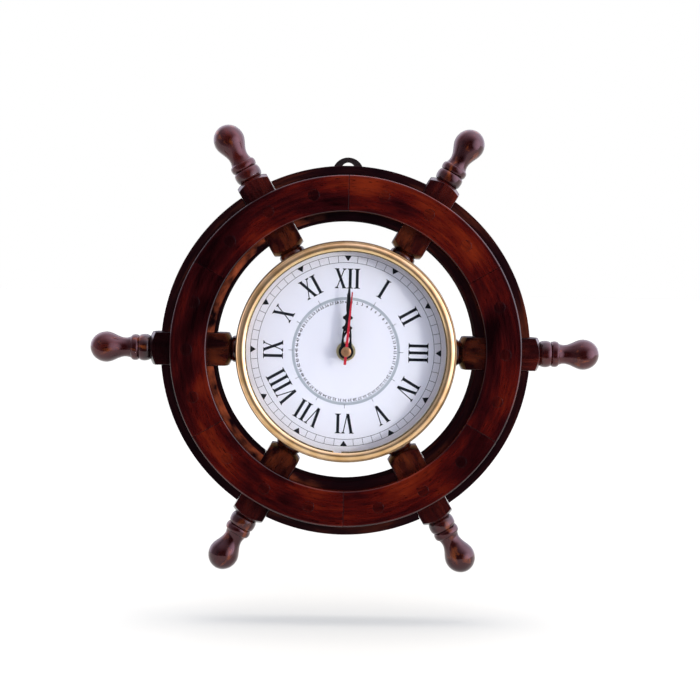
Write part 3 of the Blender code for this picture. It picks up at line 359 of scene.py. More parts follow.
@dataclass(frozen=True)
class FineSurface(Finish):
    """A surface with a fine even texture, such as moulded plastic, plated steel, paint or printing ink."""

    tone: str = "#202124"
    second: str = "#2a2b2e"
    metallic: float = 0.0
    roughness: float = 0.5
    # The real grain of a moulding, a paint or an ink is finer. It is as coarse as it needs to be to show.
    grain: float = 0.6 * MM
    relief: float = 0.02 * MM
    coat: float = 0.0
    gloss: float = 0.5
    cloud: float = 7 * MM

    def shade(self, tree: Tree) -> Socket:
        """Builds the texture's mottle and relief.

        Args:
            tree: Node tree of the material.

        Returns:
            The shader's output.
        """
        place = add(tree, "TexCoord", out="Object")
        fine = add(tree, "TexNoise", {"Vector": place, "Scale": per(self.grain), "Detail": 3.0})
        cloud = add(tree, "TexNoise", {"Vector": place, "Scale": per(self.cloud), "Detail": 4.0})
        share = add(tree, "MapRange", {0: cloud, 1: 0.3, 2: 0.7})
        base = add(tree, "Mix", {
            0: share, 6: linear(self.tone), 7: linear(self.second)}, out=2, data_type="RGBA")
        rough = add(tree, "MapRange", {0: fine, 3: self.roughness - 0.06, 4: self.roughness + 0.06})
        bump = add(tree, "Bump", {"Height": fine, "Strength": 0.25, "Distance": self.relief})
        return add(tree, "BsdfPrincipled", {
            "Base Color": base, "Metallic": self.metallic, "Roughness": rough, "Normal": bump,
            "Specular IOR Level": self.gloss, "Coat Weight": self.coat, "Coat Roughness": 0.1})


@dataclass(frozen=True)
class DialEnamel(Finish):
    """White stove enamel on a thin aluminium disc: cool white front, bare metal behind."""

    front: str = "#eeeef9"
    shade_tone: str = "#eaeaf6"
    back: str = "#a9abad"
    middle: float = 0.0
    roughness: float = 0.42
    peel: float = 2.5 * MM
    peel_depth: float = 0.02 * MM

    def shade(self, tree: Tree) -> Socket:
        """Builds the two faces by their depth.

        Args:
            tree: Node tree of the material.

        Returns:
            The shader's output.
        """
        place = add(tree, "TexCoord", out="Object")
        depth = add(tree, "SeparateXYZ", {0: place}, out="Y")
        behind = add(tree, "Math", {0: depth, 1: self.middle}, operation="GREATER_THAN")
        peel = add(tree, "TexNoise", {"Vector": place, "Scale": per(self.peel), "Detail": 2.0})
        white = add(tree, "Mix", {
            0: peel, 6: linear(self.front), 7: linear(self.shade_tone)}, out=2, data_type="RGBA")
        base = add(tree, "Mix", {0: behind, 6: white, 7: linear(self.back)}, out=2, data_type="RGBA")
        bump = add(tree, "Bump", {"Height": peel, "Strength": 0.1, "Distance": self.peel_depth})
        return add(tree, "BsdfPrincipled", {
            "Base Color": base, "Metallic": behind, "Roughness": self.roughness, "Normal": bump})


@dataclass(frozen=True)
class ClockGlass(Finish):
    """Plain float glass: clear, with a faint reflection, and it lets light through to the dial."""

    shadow_tint: str = "#f7faf9"

    def shade(self, tree: Tree) -> Socket:
        """Builds glass that casts no shadow.

        Args:
            tree: Node tree of the material.

        Returns:
            The shader's output.
        """
        glass = add(tree, "BsdfPrincipled", {
            "Base Color": linear("#ffffff"), "Roughness": 0.0, "IOR": 1.5, "Transmission Weight": 1.0})
        clear = add(tree, "BsdfTransparent", {"Color": linear(self.shadow_tint)})
        shadow = add(tree, "LightPath", out="Is Shadow Ray")
        return add(tree, "MixShader", {0: shadow, 1: glass, 2: clear})


@dataclass(frozen=True)
class BatteryFoil(Finish):
    """Printed foil sleeve of a plain dry cell: dark blue, a grey band at the positive end, bare metal ends."""

    left: float = 0.0
    right: float = 0.0
    metal: str = "#b9bbbd"
    sleeve: str = "#23406b"
    band: str = "#8e9297"
    wear: float = 1.2 * MM

    def shade(self, tree: Tree) -> Socket:
        """Builds the sleeve's bands along the cell.

        Args:
            tree: Node tree of the material.

        Returns:
            The shader's output.
        """
        place = add(tree, "TexCoord", out="Object")
        along = add(tree, "SeparateXYZ", {0: place}, out="X")
        share = add(tree, "MapRange", {0: along, 1: self.left, 2: self.right})
        bands = add(tree, "ValToRGB", {"Fac": share}, stops=(
            (0.0, self.metal), (0.03, self.metal), (0.032, self.sleeve), (0.7, self.sleeve), (0.702, self.band),
            (0.93, self.band), (0.932, self.metal)))
        bands.node.color_ramp.interpolation = "CONSTANT"
        sleeved = add(tree, "Math", {0: share, 1: 0.5, 2: 0.468}, operation="COMPARE")
        bare = add(tree, "Math", {0: 1.0, 1: sleeved}, operation="SUBTRACT")
        wear = add(tree, "TexNoise", {"Vector": place, "Scale": per(self.wear), "Detail": 3.0})
        rough = add(tree, "MapRange", {0: wear, 3: 0.24, 4: 0.4})
        return add(tree, "BsdfPrincipled", {"Base Color": bands, "Metallic": bare, "Roughness": rough})


@dataclass(frozen=True)
class MattSweep(Finish):
    """Matt white studio paper: plain and pale, with a little light of its own so that it stays white."""

    tone: str = "#aca79f"
    glow: float = 0.13

    def shade(self, tree: Tree) -> Socket:
        """Builds paper that keeps the shadow and glows only where it is seen.

        Args:
            tree: Node tree of the material.

        Returns:
            The shader's output.
        """
        seen = add(tree, "LightPath", out="Is Camera Ray")
        for ray in ("Is Glossy Ray", "Is Transmission Ray"):
            seen = add(tree, "Math", {0: seen, 1: add(tree, "LightPath", out=ray)}, operation="MAXIMUM")
        strength = add(tree, "Math", {0: seen, 1: self.glow}, operation="MULTIPLY")
        matt = add(tree, "BsdfDiffuse", {"Color": linear(self.tone)})
        glow = add(tree, "Emission", {"Color": linear("#ffffff"), "Strength": strength})
        return add(tree, "AddShader", {0: matt, 1: glow})


# Spokes: dark blocks, brown wood where the stain is rubbed thin near the case, a mauve bloom on the handles.
SPOKE_WOOD = LacqueredWood("lacquered_sheesham_spoke", dark="#150304", mid="#250606", light="#43120a",
                           lacquer_roughness=0.12, thin_end=(110 * MM, 96 * MM),
                           handled_end=(146 * MM, 152 * MM))
# Ring boards: the glossiest and reddest wood.
RING_WOOD = LacqueredWood("lacquered_sheesham_ring")
# Felloes: nearly black, with little lacquer, and painted light in pale brown on the inner step's left half.
FELLOE_WOOD = LacqueredWood("lacquered_sheesham_felloe", shadow="#080203", dark="#110306", mid="#1b0506",
                            light="#42180b", lacquer=0.1, lacquer_roughness=0.3, thin="#8a3f22",
                            scuffed_band=(102.5 * MM, 4.0 * MM), dusty_radius=97.5 * MM)
# Plugs: end grain, which drinks more stain and looks a shade darker than the board round it.
PLUG_WOOD = LacqueredWood("lacquered_sheesham_plug", dark="#170304", mid="#310705", light="#541707")
# Brass: dull on the case, bright on the bezel with a mirror lip and a brown rim, pale on the washer, coppery
# on the cap.
CASE_BRASS = SpunBrass("spun_brass_case", tone="#cfa876", worn="#a9834f", roughness=0.34)
BEZEL_BRASS = SpunBrass("spun_brass_bezel", roughness=0.31, bare=0.94, buffed=75.6 * MM, rim=81.0 * MM)
WASHER_BRASS = SpunBrass("turned_brass_washer", tone="#dccfa6", worn="#c3b385", roughness=0.36)
CAP_BRASS = SpunBrass("pressed_copper_brass_cap", tone="#c9966f", worn="#b07f5a", roughness=0.38)
# Clear pane that only shows by what it mirrors.
GLASS = ClockGlass("float_glass")
# Printing inks: flat and even, black, grey and pale.
INK = FineSurface("screen_printed_black_ink", "#0b0d16", "#10131d", grain=0.3 * MM, gloss=0.2)
GREY_INK = FineSurface("screen_printed_grey_ink", "#3f4453", "#484d5c", grain=0.3 * MM, gloss=0.2)
PALE_INK = FineSurface("screen_printed_pale_ink", "#a9b0bb", "#b1b8c2", grain=0.3 * MM, gloss=0.2)
# Lacquered hands: smooth black with a soft shine, and a bright glossy red.
HAND_BLACK = FineSurface("black_lacquered_brass_hand", "#08090b", "#0d0e11", roughness=0.3, grain=0.4 * MM,
                         gloss=0.3)
HAND_RED = FineSurface("red_lacquered_aluminium_hand", "#b8142a", "#c31a30", roughness=0.35, grain=0.4 * MM,
                       coat=0.3)
# Stoved paint and zinc plate: brown black with a slight bloom, and a pale grey metal with a yellow cast.
HANGER_PAINT = FineSurface("brown_black_stoved_steel", "#140808", "#1f0e0c", 0.0, 0.45, 0.5 * MM, 0.03 * MM)
SCREW_STEEL = FineSurface("zinc_plated_steel", "#9b9da0", "#b4b4ae", 1.0, 0.32, 0.5 * MM, 0.01 * MM)
# Moulded plastics: black with a spark-eroded grain, and milky white wheels.
MOVEMENT_BLACK = FineSurface("moulded_black_polystyrene", "#17181a", "#1e1f22", 0.0, 0.5, 0.35 * MM, 0.04 * MM)
COVER_BLACK = FineSurface("moulded_black_polystyrene_cover", "#1d1e21", "#232427", 0.0, 0.55, 0.3 * MM,
                          0.05 * MM)
NYLON = FineSurface("moulded_white_nylon", "#dcdacf", "#e6e4da", 0.0, 0.45, 0.5 * MM, 0.01 * MM)
# Motor and electronics: dark ferrite, grey steel, copper red wire, green board, bright nickel.
FERRITE = FineSurface("sintered_ferrite", "#2a2a2c", "#353537", 0.0, 0.6, 0.3 * MM, 0.02 * MM)
STATOR_STEEL = FineSurface("stamped_silicon_steel", "#8d9094", "#9da0a4", 1.0, 0.4, 0.5 * MM, 0.01 * MM)
COPPER = FineSurface("enamelled_copper_wire", "#a4552b", "#b9683a", 1.0, 0.3, 0.25 * MM, 0.05 * MM)
BOARD = FineSurface("green_masked_circuit_board", "#1d5a34", "#24683d", 0.0, 0.35, 0.8 * MM, 0.01 * MM)
CONTACT_STEEL = FineSurface("nickel_plated_spring_steel", "#b8bcc0", "#c8cbcd", 1.0, 0.22, 0.4 * MM, 0.005 * MM)


# Handwork shared by the sub-assemblies. Pieces are drawn in a front view: x right, y up, z out from the wall.

def levels(node: str) -> tuple[float, float]:
    """Finds how far a node's back and front stand out from the wall.

    Args:
        node: Name of a CAD node.

    Returns:
        Distance of its back and of its front from the wall.
    """
    low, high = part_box(node)
    return WALL - high.y, WALL - low.y


def arc(radius: float, start: float, end: float, steps: int, centre: Point = (0.0, 0.0)) -> list[Point]:
    """Points on an arc.

    Args:
        radius: Radius of the arc.
        start: First angle in degrees, anticlockwise from the right.
        end: Last angle in degrees.
        steps: Number of chords.
        centre: Middle of the arc.

    Returns:
        The arc's points with both ends.
    """
    angles = [math.radians(start + (end - start) * step / steps) for step in range(steps + 1)]
    return [(centre[0] + radius * math.cos(a), centre[1] + radius * math.sin(a)) for a in angles]


def quarter(steps: int) -> list[float]:
    """Angles in radians from nought to a right angle, with both ends."""
    return [math.pi / 2 * step / steps for step in range(steps + 1)]


def oblong(left: float, bottom: float, right: float, top: float) -> list[Point]:
    """Corners of an upright rectangle, from the lower left."""
    return [(left, bottom), (right, bottom), (right, top), (left, top)]


def mirrored(right: Sequence[Point]) -> list[Point]:
    """Closes an outline from its right half, which runs from bottom to top."""
    return [*right, *((-x, y) for x, y in reversed(right) if x > 1e-9)]


def flowing(points: Sequence[Point], steps: int) -> list[Point]:
    """Draws a smooth curve through points.

    Args:
        points: Points that the curve passes through.
        steps: Chords between two points.

    Returns:
        Points on the curve, with both ends.
    """
    ends = [points[0], *points, points[-1]]
    curve: list[Point] = []
    for a, b, c, d in zip(ends, ends[1:], ends[2:], ends[3:]):
        for step in range(steps):
            t = step / steps
            weights = (-t + 2 * t**2 - t**3, 2 - 5 * t**2 + 3 * t**3, t + 4 * t**2 - 3 * t**3, t**3 - t**2)
            curve.append(tuple(sum(w * p[i] for w, p in zip(weights, (a, b, c, d))) / 2 for i in (0, 1)))
    return [*curve, tuple(points[-1])]


def clear() -> None:
    """Leaves edit mode and selects nothing."""
    if bpy.context.object and bpy.context.object.mode != "OBJECT":
        bpy.ops.object.mode_set(mode="OBJECT")
    bpy.ops.object.select_all(action="DESELECT")


def take(piece: Piece) -> Piece:
    """Makes one piece the only selected and the active one.

    Args:
        piece: Piece to select.

    Returns:
        The same piece.
    """
    clear()
    piece.select_set(True)
    bpy.context.view_layer.objects.active = piece
    return piece


def line(name: str, points: Sequence[Sequence[float]], closed: bool = False) -> Piece:
    """Draws a line by extruding one vertex after another, and stays in edit mode with all of it selected.

    Args:
        name: Name of the piece that starts with this line.
        points: Corners of the line.
        closed: Whether the line returns to its first point.

    Returns:
        The new piece.
    """
    clear()
    bpy.ops.mesh.primitive_plane_add(size=MM)
    piece = bpy.context.object
    piece.name = piece.data.name = name
    bpy.ops.object.mode_set(mode="EDIT")
    bpy.ops.mesh.merge(type="CENTER")
    bpy.ops.transform.translate(value=points[0])
    path = [Vector(point) for point in points]
    if closed:
        path.append(path[0])
    for before, after in zip(path, path[1:]):
        bpy.ops.mesh.extrude_vertices_move(TRANSFORM_OT_translate={"value": after - before})
    bpy.ops.mesh.select_all(action="SELECT")
    bpy.ops.mesh.remove_doubles(threshold=1e-7)
    return piece


def close_up() -> None:
    """Merges doubles and turns all faces outwards, then leaves edit mode."""
    bpy.ops.mesh.select_all(action="SELECT")
    bpy.ops.mesh.remove_doubles(threshold=1e-7)
    bpy.ops.mesh.normals_make_consistent(inside=False)
    bpy.ops.object.mode_set(mode="OBJECT")


def turned(name: str, profile: Sequence[Point], sides: int, closed: bool = True,
           along_x: bool = False) -> Piece:
    """Turns a profile on a lathe.

    Args:
        name: Name of the piece.
        profile: Corners as (radius, place along the axis).
        sides: Steps round the axis.
        closed: Whether the profile returns to its first point; an open one starts and ends on the axis.
        along_x: Whether the axis is x instead of z.

    Returns:
        The turned piece.
    """
    points = [(z, 0.0, r) if along_x else (r, 0.0, z) for r, z in profile]
    piece = line(name, points, closed)
    axis = (1.0, 0.0, 0.0) if along_x else (0.0, 0.0, 1.0)
    bpy.ops.mesh.spin(steps=sides, angle=math.tau, center=(0.0, 0.0, 0.0), axis=axis)
    close_up()
    return piece


def plate(name: str, outline: Sequence[Point], back: float, front: float) -> Piece:
    """Cuts a flat plate.

    Args:
        name: Name of the piece.
        outline: Corners of the plate.
        back: Level of its back face.
        front: Level of its front face.

    Returns:
        The plate.
    """
    piece = line(name, [(x, y, back) for x, y in outline], closed=True)
    bpy.ops.mesh.edge_face_add()
    bpy.ops.mesh.extrude_region_move(TRANSFORM_OT_translate={"value": (0.0, 0.0, front - back)})
    close_up()
    return piece


def bent(name: str, section: Sequence[Point], sweep: float, setback: float, steps: int) -> Piece:
    """Bends a bar round the z axis, its middle on +x, and saws its ends parallel to the two end lines.

    Args:
        name: Name of the piece.
        section: Corners as (radius, level).
        sweep: Angle between the two end lines, in degrees.
        setback: Distance that each end stays clear of its end line.
        steps: Steps along the bend.

    Returns:
        The bar.
    """
    half = math.radians(sweep / 2)
    piece = line(name, [(r * math.cos(half), r * math.sin(half), z) for r, z in section], closed=True)
    bpy.ops.mesh.spin(steps=steps, angle=2 * half, center=(0.0, 0.0, 0.0), axis=(0.0, 0.0, 1.0))
    for side in (1, -1):
        away = Vector((-math.sin(half), side * math.cos(half), 0.0))
        bpy.ops.mesh.select_all(action="SELECT")
        bpy.ops.mesh.bisect(plane_co=-setback * away, plane_no=away, use_fill=True, clear_outer=True)
    close_up()
    return piece


def combine(piece: Piece, tool: Piece, operation: str = "DIFFERENCE") -> Piece:
    """Cuts, joins or crosses a piece with a tool that is used up.

    Args:
        piece: Piece to work on.
        tool: Piece that is cut out, added or crossed.
        operation: DIFFERENCE, UNION or INTERSECT.

    Returns:
        The worked piece.
    """
    take(piece)
    work = piece.modifiers.new("work", "BOOLEAN")
    work.operation, work.object, work.solver = operation, tool, "EXACT"
    bpy.ops.object.modifier_apply(modifier=work.name)
    bpy.data.objects.remove(tool, do_unlink=True)
    return piece


def ease(piece: Piece, width: float, segments: int = 2, angle: float = 35.0) -> Piece:
    """Rounds the sharp edges of a piece.

    Args:
        piece: Piece to work on.
        width: Width of the rounding.
        segments: Steps across it.
        angle: Edges that turn by less than this many degrees stay as they are.

    Returns:
        The worked piece.
    """
    take(piece)
    round_over = piece.modifiers.new("ease", "BEVEL")
    round_over.width, round_over.segments, round_over.limit_method = width, segments, "ANGLE"
    round_over.angle_limit = math.radians(angle)
    bpy.ops.object.modifier_apply(modifier=round_over.name)
    return piece


def duplicate(piece: Piece, name: str) -> Piece:
    """Copies a piece with a mesh of its own.

    Args:
        piece: Piece to copy.
        name: Name of the copy and of its mesh.

    Returns:
        The copy.
    """
    copy = piece.copy()
    copy.data = piece.data.copy()
    copy.name = copy.data.name = name
    bpy.context.scene.collection.objects.link(copy)
    return copy


def copies(master: Piece, names: Sequence[str]) -> Iterator[Piece]:
    """Copies a piece one at a time, and removes it after the last copy.

    Args:
        master: Piece to copy, used up.
        names: Names of the copies.

    Yields:
        Each copy, before the next one is made.
    """
    for name in names:
        yield duplicate(master, name)
    bpy.data.objects.remove(master, do_unlink=True)


def join(name: str, pieces: Sequence[Piece]) -> Piece:
    """Joins pieces into one mesh.

    Args:
        name: Name of the joined piece.
        pieces: Pieces to join, used up.

    Returns:
        The joined piece.
    """
    take(pieces[0])
    for piece in pieces:
        piece.select_set(True)
    bpy.ops.object.join()
    pieces[0].name = pieces[0].data.name = name
    return pieces[0]


def put(piece: Piece, x: float = 0.0, y: float = 0.0, z: float = 0.0, turn: float = 0.0) -> Piece:
    """Turns a piece about z, then moves it, and keeps its place in its mesh.

    Args:
        piece: Piece to place.
        x: Move to the right.
        y: Move up.
        z: Move out from the wall.
        turn: Angle in degrees, anticlockwise.

    Returns:
        The piece.
    """
    take(piece)
    piece.rotation_euler, piece.location = (0.0, 0.0, math.radians(turn)), (x, y, z)
    bpy.ops.object.transform_apply(location=True, rotation=True, scale=True)
    return piece


def mark_grain(piece: Piece, grain: Grain, shift: float, turn: float = 0.0) -> None:
    """Records each point's place in its own board, so that the wood pattern follows the fibres.

    Args:
        piece: Wooden piece, still as it was drawn.
        grain: Way that the fibres run.
        shift: Number that picks another part of the pattern for each board.
        turn: Angle in degrees by which a bent board's pattern is moved on round the rim.
    """
    marks = piece.data.attributes.new("grain", "FLOAT_VECTOR", "POINT")
    offset = Vector((0.0, 0.137, 0.223)) * shift
    for vertex, mark in zip(piece.data.vertices, marks.data):
        x, y, z = vertex.co
        if grain is Grain.ALONG_ARC:
            x, y = (math.atan2(y, x) + math.radians(turn)) * RIM_RADIUS, math.hypot(x, y)
        mark.vector = Vector((x, y, z)) + offset


def hang(piece: Piece, finish: Finish, slot: str, *nodes: str, body: Body = Body.FRAME,
         smooth: float = 30.0) -> Piece:
    """Turns a piece from the front view to its place on the wall, dresses it and ties it to the frame.

    Args:
        piece: Finished piece in the front view.
        finish: Its surface finish.
        slot: Material slot of the record; not used.
        nodes: CAD nodes that it stands for.
        body: Group that it moves with.
        smooth: Edges flatter than this many degrees are shaded smooth.

    Returns:
        The piece.
    """
    take(piece)
    piece.rotation_euler, piece.location = (math.pi / 2, 0.0, 0.0), (0.0, WALL, 0.0)
    bpy.ops.object.transform_apply(location=True, rotation=True, scale=True)
    bpy.ops.object.shade_smooth_by_angle(angle=math.radians(smooth))
    even = piece.modifiers.new("flat_faces_stay_flat", "WEIGHTED_NORMAL")
    even.keep_sharp = True
    bpy.ops.object.modifier_apply(modifier=even.name)
    piece.data.materials.clear()
    piece.data.materials.append(finish.material())
    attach(piece, body.value)
    if nodes:
        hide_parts(*nodes)
    log.info("%s in %s", piece.name, finish.name)
    return piece


def dress(finish: Finish, *nodes: str) -> None:
    """Gives CAD nodes that keep their shape a finish.

    Args:
        finish: Their surface finish.
        nodes: Names of the nodes.
    """
    for name in nodes:
        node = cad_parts[name]
        node.data.materials.clear()
        node.data.materials.append(finish.material())
        log.info("%s in %s", name, finish.name)


# Wheel

@dataclass
class ShipWheel:
    """Six turned spokes, six felloes between them, and a ring of six boards on each face.

    A bead, a neck and the ball are given as (radius, length), and a ring as (inner, outer) radius.
    """

    count: int = 6
    corner_ease: float = 0.7 * MM
    turning_ease: float = 0.25 * MM
    block_inner: float = 84.9 * MM
    block_outer: float = 145.7 * MM
    shoulder: float = 6.0 * MM
    shoulder_curve: float = 1.25
    inner_bead: float = 10.0 * MM
    first_bead: Point = (10.0 * MM, 8.4 * MM)
    second_bead: Point = (9.7 * MM, 5.8 * MM)
    bead_curve: float = 0.9
    groove: float = 8.1 * MM
    neck: Point = (7.1 * MM, 4.2 * MM)
    ball: Point = (11.4 * MM, 12.0 * MM)
    felloe_radii: Point = (97.0 * MM, 137.0 * MM)
    felloe_ease: float = 0.7 * MM
    ring_radii: Point = (103.0 * MM, 129.7 * MM)
    ring_round: float = 1.25 * MM
    seam_ease: float = 0.2 * MM
    plug_radius: float = 4.15 * MM
    plug_gap: float = 0.07 * MM
    plug_circle: float = 117.5 * MM
    plug_spread: float = 17.3
    plug_depth: float = 4.0 * MM
    plug_ease: float = 0.15 * MM
    felloe_pattern: float = 11.0
    ring_pattern: float = 21.0
    board_change: float = 0.03
    pattern_turn: float = -90.0

    @property
    def pitch(self) -> float:
        """Angle between two spokes in degrees."""
        return 360 / self.count

    def build(self) -> None:
        """Builds and hangs every wooden piece."""
        self.build_spokes()
        self.build_felloes()
        self.build_rings()

    def bead(self, start: float, size: Point) -> list[Point]:
        """Half-round bead of a turned profile, as (radius, place).

        Args:
            start: Place where the bead starts.
            size: Its radius and length.

        Returns:
            The bead's points, from groove to groove.
        """
        rise = size[0] - self.groove
        return [(self.groove + rise * math.sin(a) ** self.bead_curve, start + size[1] * (1 - math.cos(a)) / 2)
                for a in (math.pi * step / 10 for step in range(11))]

    def profile(self, inner_end: float, tip: float, stock: float) -> list[Point]:
        """Turned outline of a spoke.

        Args:
            inner_end: Where the spoke meets the case.
            tip: End of the handle.
            stock: Width of the square bar.

        Returns:
            Points as (radius, place along the spoke), from axis to axis.
        """
        # The shoulders climb past the bar's corners, so the flats are cut by the square bar alone.
        rise = 0.76 * stock - self.groove
        climb = [(self.groove + rise * t, self.shoulder * t ** self.shoulder_curve)
                 for t in (step / 10 for step in range(1, 11))]
        block = [(r, self.block_inner + z) for r, z in climb]
        block += [(r, self.block_outer - z) for r, z in reversed(climb)]
        inner = self.bead(inner_end, (self.inner_bead, self.block_inner - inner_end))
        first = self.bead(self.block_outer, self.first_bead)
        second = self.bead(first[-1][1], self.second_bead)
        groove = second[-1][1]
        neck = (self.neck[0], groove + self.neck[1])
        ball = (self.ball[0], tip - self.ball[1])
        cove = [(self.groove + (neck[0] - self.groove) * math.sin(math.pi / 2 * s / 5),
                 groove + self.neck[1] * s / 5) for s in range(1, 6)]
        swell = [(neck[0] + (ball[0] - neck[0]) * (1 - math.cos(math.pi * s / 12)) / 2,
                  neck[1] + (ball[1] - neck[1]) * s / 12) for s in range(1, 13)]
        nose = [(ball[0] * math.cos(a), ball[1] + self.ball[1] * math.sin(a)) for a in quarter(10)[1:-1]]
        return [(0.0, inner_end), *inner, *block, *first, *second[1:], *cove, *swell, *nose, (0.0, tip)]

    def build_spokes(self) -> None:
        """Turns one spoke from square stock and sets six copies round the case."""
        low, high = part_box("spoke_1")
        stock, level = high.z - low.z, WALL - (low.y + high.y) / 2
        master = turned("spoke", self.profile(low.x, high.x, stock), 72, closed=False, along_x=True)
        half = stock / 2
        bar = plate("bar", oblong(low.x - GAP, -half, high.x + GAP, half), -half, half)
        combine(master, ease(bar, self.corner_ease, 3), "INTERSECT")
        ease(master, self.turning_ease, 2, 28.0)
        names = [f"spoke_{number + 1}" for number in range(self.count)]
        for number, spoke in enumerate(copies(master, [f"turned_{name}" for name in names])):
            mark_grain(spoke, Grain.ALONG_X, number + 1.0)
            put(spoke, z=level, turn=number * self.pitch)
            hang(spoke, SPOKE_WOOD, "spoke_wood", names[number], smooth=38.0)

    def section(self, radii: Point, back: float, front: float, soft: float) -> list[Point]:
        """Section of a bent board with four rounded edges.

        Args:
            radii: Its inner and outer radius.
            back: Level of its back.
            front: Level of its front.
            soft: Radius of the rounding.

        Returns:
            Points as (radius, level).
        """
        inner, outer = radii
        corners = ((inner + soft, back + soft, 180), (outer - soft, back + soft, 270),
                   (outer - soft, front - soft, 0), (inner + soft, front - soft, 90))
        return [p for x, z, a in corners for p in arc(soft, a, a + 90, 5, (x, z))]

    def build_felloes(self) -> None:
        """Bends one felloe and sets six copies between the spokes."""
        low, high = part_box("spoke_1")
        back, front = levels("felloe_1")
        setback = (high.z - low.z) / 2 + GAP
        section = self.section(self.felloe_radii, back, front, self.felloe_ease)
        master = bent("felloe", section, self.pitch, setback, 40)
        names = [f"felloe_{number + 1}" for number in range(self.count)]
        for number, felloe in enumerate(copies(master, [f"bent_{name}" for name in names])):
            turn = (number + 0.5) * self.pitch
            mark_grain(felloe, Grain.ALONG_ARC, self.felloe_pattern + self.board_change * number, turn)
            put(felloe, turn=turn)
            hang(felloe, FELLOE_WOOD, "felloe_wood", names[number])

    def build_rings(self) -> None:
        """Bends the boards of both rings, bores the front ones and sets their plugs."""
        spots = arc(self.plug_circle, -self.plug_spread, self.plug_spread, 2)
        for side in ("front", "rear"):
            back, front = levels(f"{side}_ring_1")
            section = self.section(self.ring_radii, back, front, self.ring_round)
            master = ease(bent(f"{side}_ring", section, self.pitch, GAP / 2, 48), self.seam_ease, 2, 55.0)
            if side == "front":
                for spot in spots:
                    round_bore = arc(self.plug_radius + self.plug_gap, 0, 352.5, 47, spot)
                    combine(master, plate("bore", round_bore, front - self.plug_depth, front + MM))
            names = [f"{side}_ring_{number + 1}" for number in range(self.count)]
            for number, board in enumerate(copies(master, [f"lacquered_{name}" for name in names])):
                turn = number * self.pitch
                pattern = self.ring_pattern + self.board_change * number
                mark_grain(board, Grain.ALONG_ARC, pattern, turn + self.pattern_turn)
                put(board, turn=turn)
                hang(board, RING_WOOD, "ring_wood", names[number])
                if side == "front":
                    self.build_plugs(number, turn, spots, front)

    def build_plugs(self, board: int, turn: float, spots: Sequence[Point], front: float) -> None:
        """Turns the three plugs of one board and sets them flush in their bores.

        Args:
            board: Number of the board, from 0.
            turn: Angle of the board in degrees.
            spots: Places of the three bores before the board is turned.
            front: Level of the board's face.
        """
        back, soft = front - self.plug_depth + GAP, self.plug_ease
        core = self.plug_radius - soft
        profile = [(0.0, back), (core, back), (self.plug_radius, back + soft)]
        profile += [(core + soft * math.cos(a), front - soft + soft * math.sin(a)) for a in quarter(4)]
        profile += [(0.0, front)]
        pattern = self.ring_pattern + self.board_change * (board + 0.3)
        for number, (x, y) in enumerate(spots):
            plug = turned(f"ring_plug_{board * len(spots) + number + 1}", profile, 40, closed=False)
            put(plug, x, y)
            mark_grain(plug, Grain.ALONG_ARC, pattern, turn + self.pattern_turn)
            put(plug, turn=turn)
            hang(plug, PLUG_WOOD, "ring_wood")


@dataclass
class EyePlate:
    """Black steel plate with a hanging eye, held by two countersunk screws behind the wheel's top."""

    eye_outer: float = 12.0 * MM
    eye_hole: float = 5.1 * MM
    top_band: float = 3.8 * MM
    corner: float = 3.5 * MM
    edge: float = 0.35 * MM
    shank: float = 1.5 * MM
    slot: float = 0.7 * MM
    head_edge: float = 0.15 * MM
    slot_turns: Point = (25.0, -40.0)

    def build(self) -> None:
        """Cuts the plate with its eye and screw seats, and hangs it."""
        low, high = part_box("hanger_plate")
        back, front = levels("hanger_plate")
        screw_low, screw_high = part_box("hanger_screw_right")
        foot, offset = (screw_low.z + screw_high.z) / 2, (screw_low.x + screw_high.x) / 2
        head = (screw_high.x - screw_low.x) / 2
        half, base = high.x, low.z
        eye = (0.0, high.z - self.top_band - self.eye_hole)
        outline = arc(self.eye_outer, -15, 195, 48, (0.0, high.z - self.eye_outer))
        outline += [(-half, foot + self.corner)]
        outline += arc(self.corner, 180, 270, 8, (-half + self.corner, base + self.corner))
        outline += arc(self.corner, 270, 360, 8, (half - self.corner, base + self.corner))
        outline += [(half, foot + self.corner)]
        steel = plate("eye_plate", outline, back, front)
        combine(steel, plate("eye", arc(self.eye_hole, 0, 352.5, 47, eye), back - MM, front + MM))
        cone = [(0.0, back - GAP), (head + 2 * GAP, back - GAP), (0.5 * head, front + GAP), (0.0, front + GAP)]
        for side in (-1, 1):
            combine(steel, put(turned("seat", cone, 40, closed=False), side * offset, foot))
        hang(ease(steel, self.edge, 3), HANGER_PAINT, "hanger_paint", "hanger_plate")
        self.build_screws(head, offset, foot)

    def build_screws(self, head: float, offset: float, foot: float) -> None:
        """Turns two slotted countersunk screws and sets them in the plate.

        Args:
            head: Radius of the heads.
            offset: Distance of each screw from the middle.
            foot: Height of both.
        """
        back, point = levels("hanger_screw_right")
        half = self.slot / 2
        profile = [(0.0, back), (head - self.head_edge, back), (head, back + self.head_edge),
                   (self.shank, back + head - self.shank), (self.shank, point - 2 * self.shank), (0.0, point)]
        for name, side, turn in zip(("left", "right"), (-1, 1), self.slot_turns):
            screw = turned(f"slotted_hanger_screw_{name}", profile, 40, closed=False)
            slot = oblong(-head - MM, -half, head + MM, half)
            combine(screw, plate("slot", slot, back - MM, back + self.slot))
            put(screw, side * offset, foot, turn=turn)
            hang(screw, SCREW_STEEL, "screw_steel", f"hanger_screw_{name}")


# Case, dial and hands

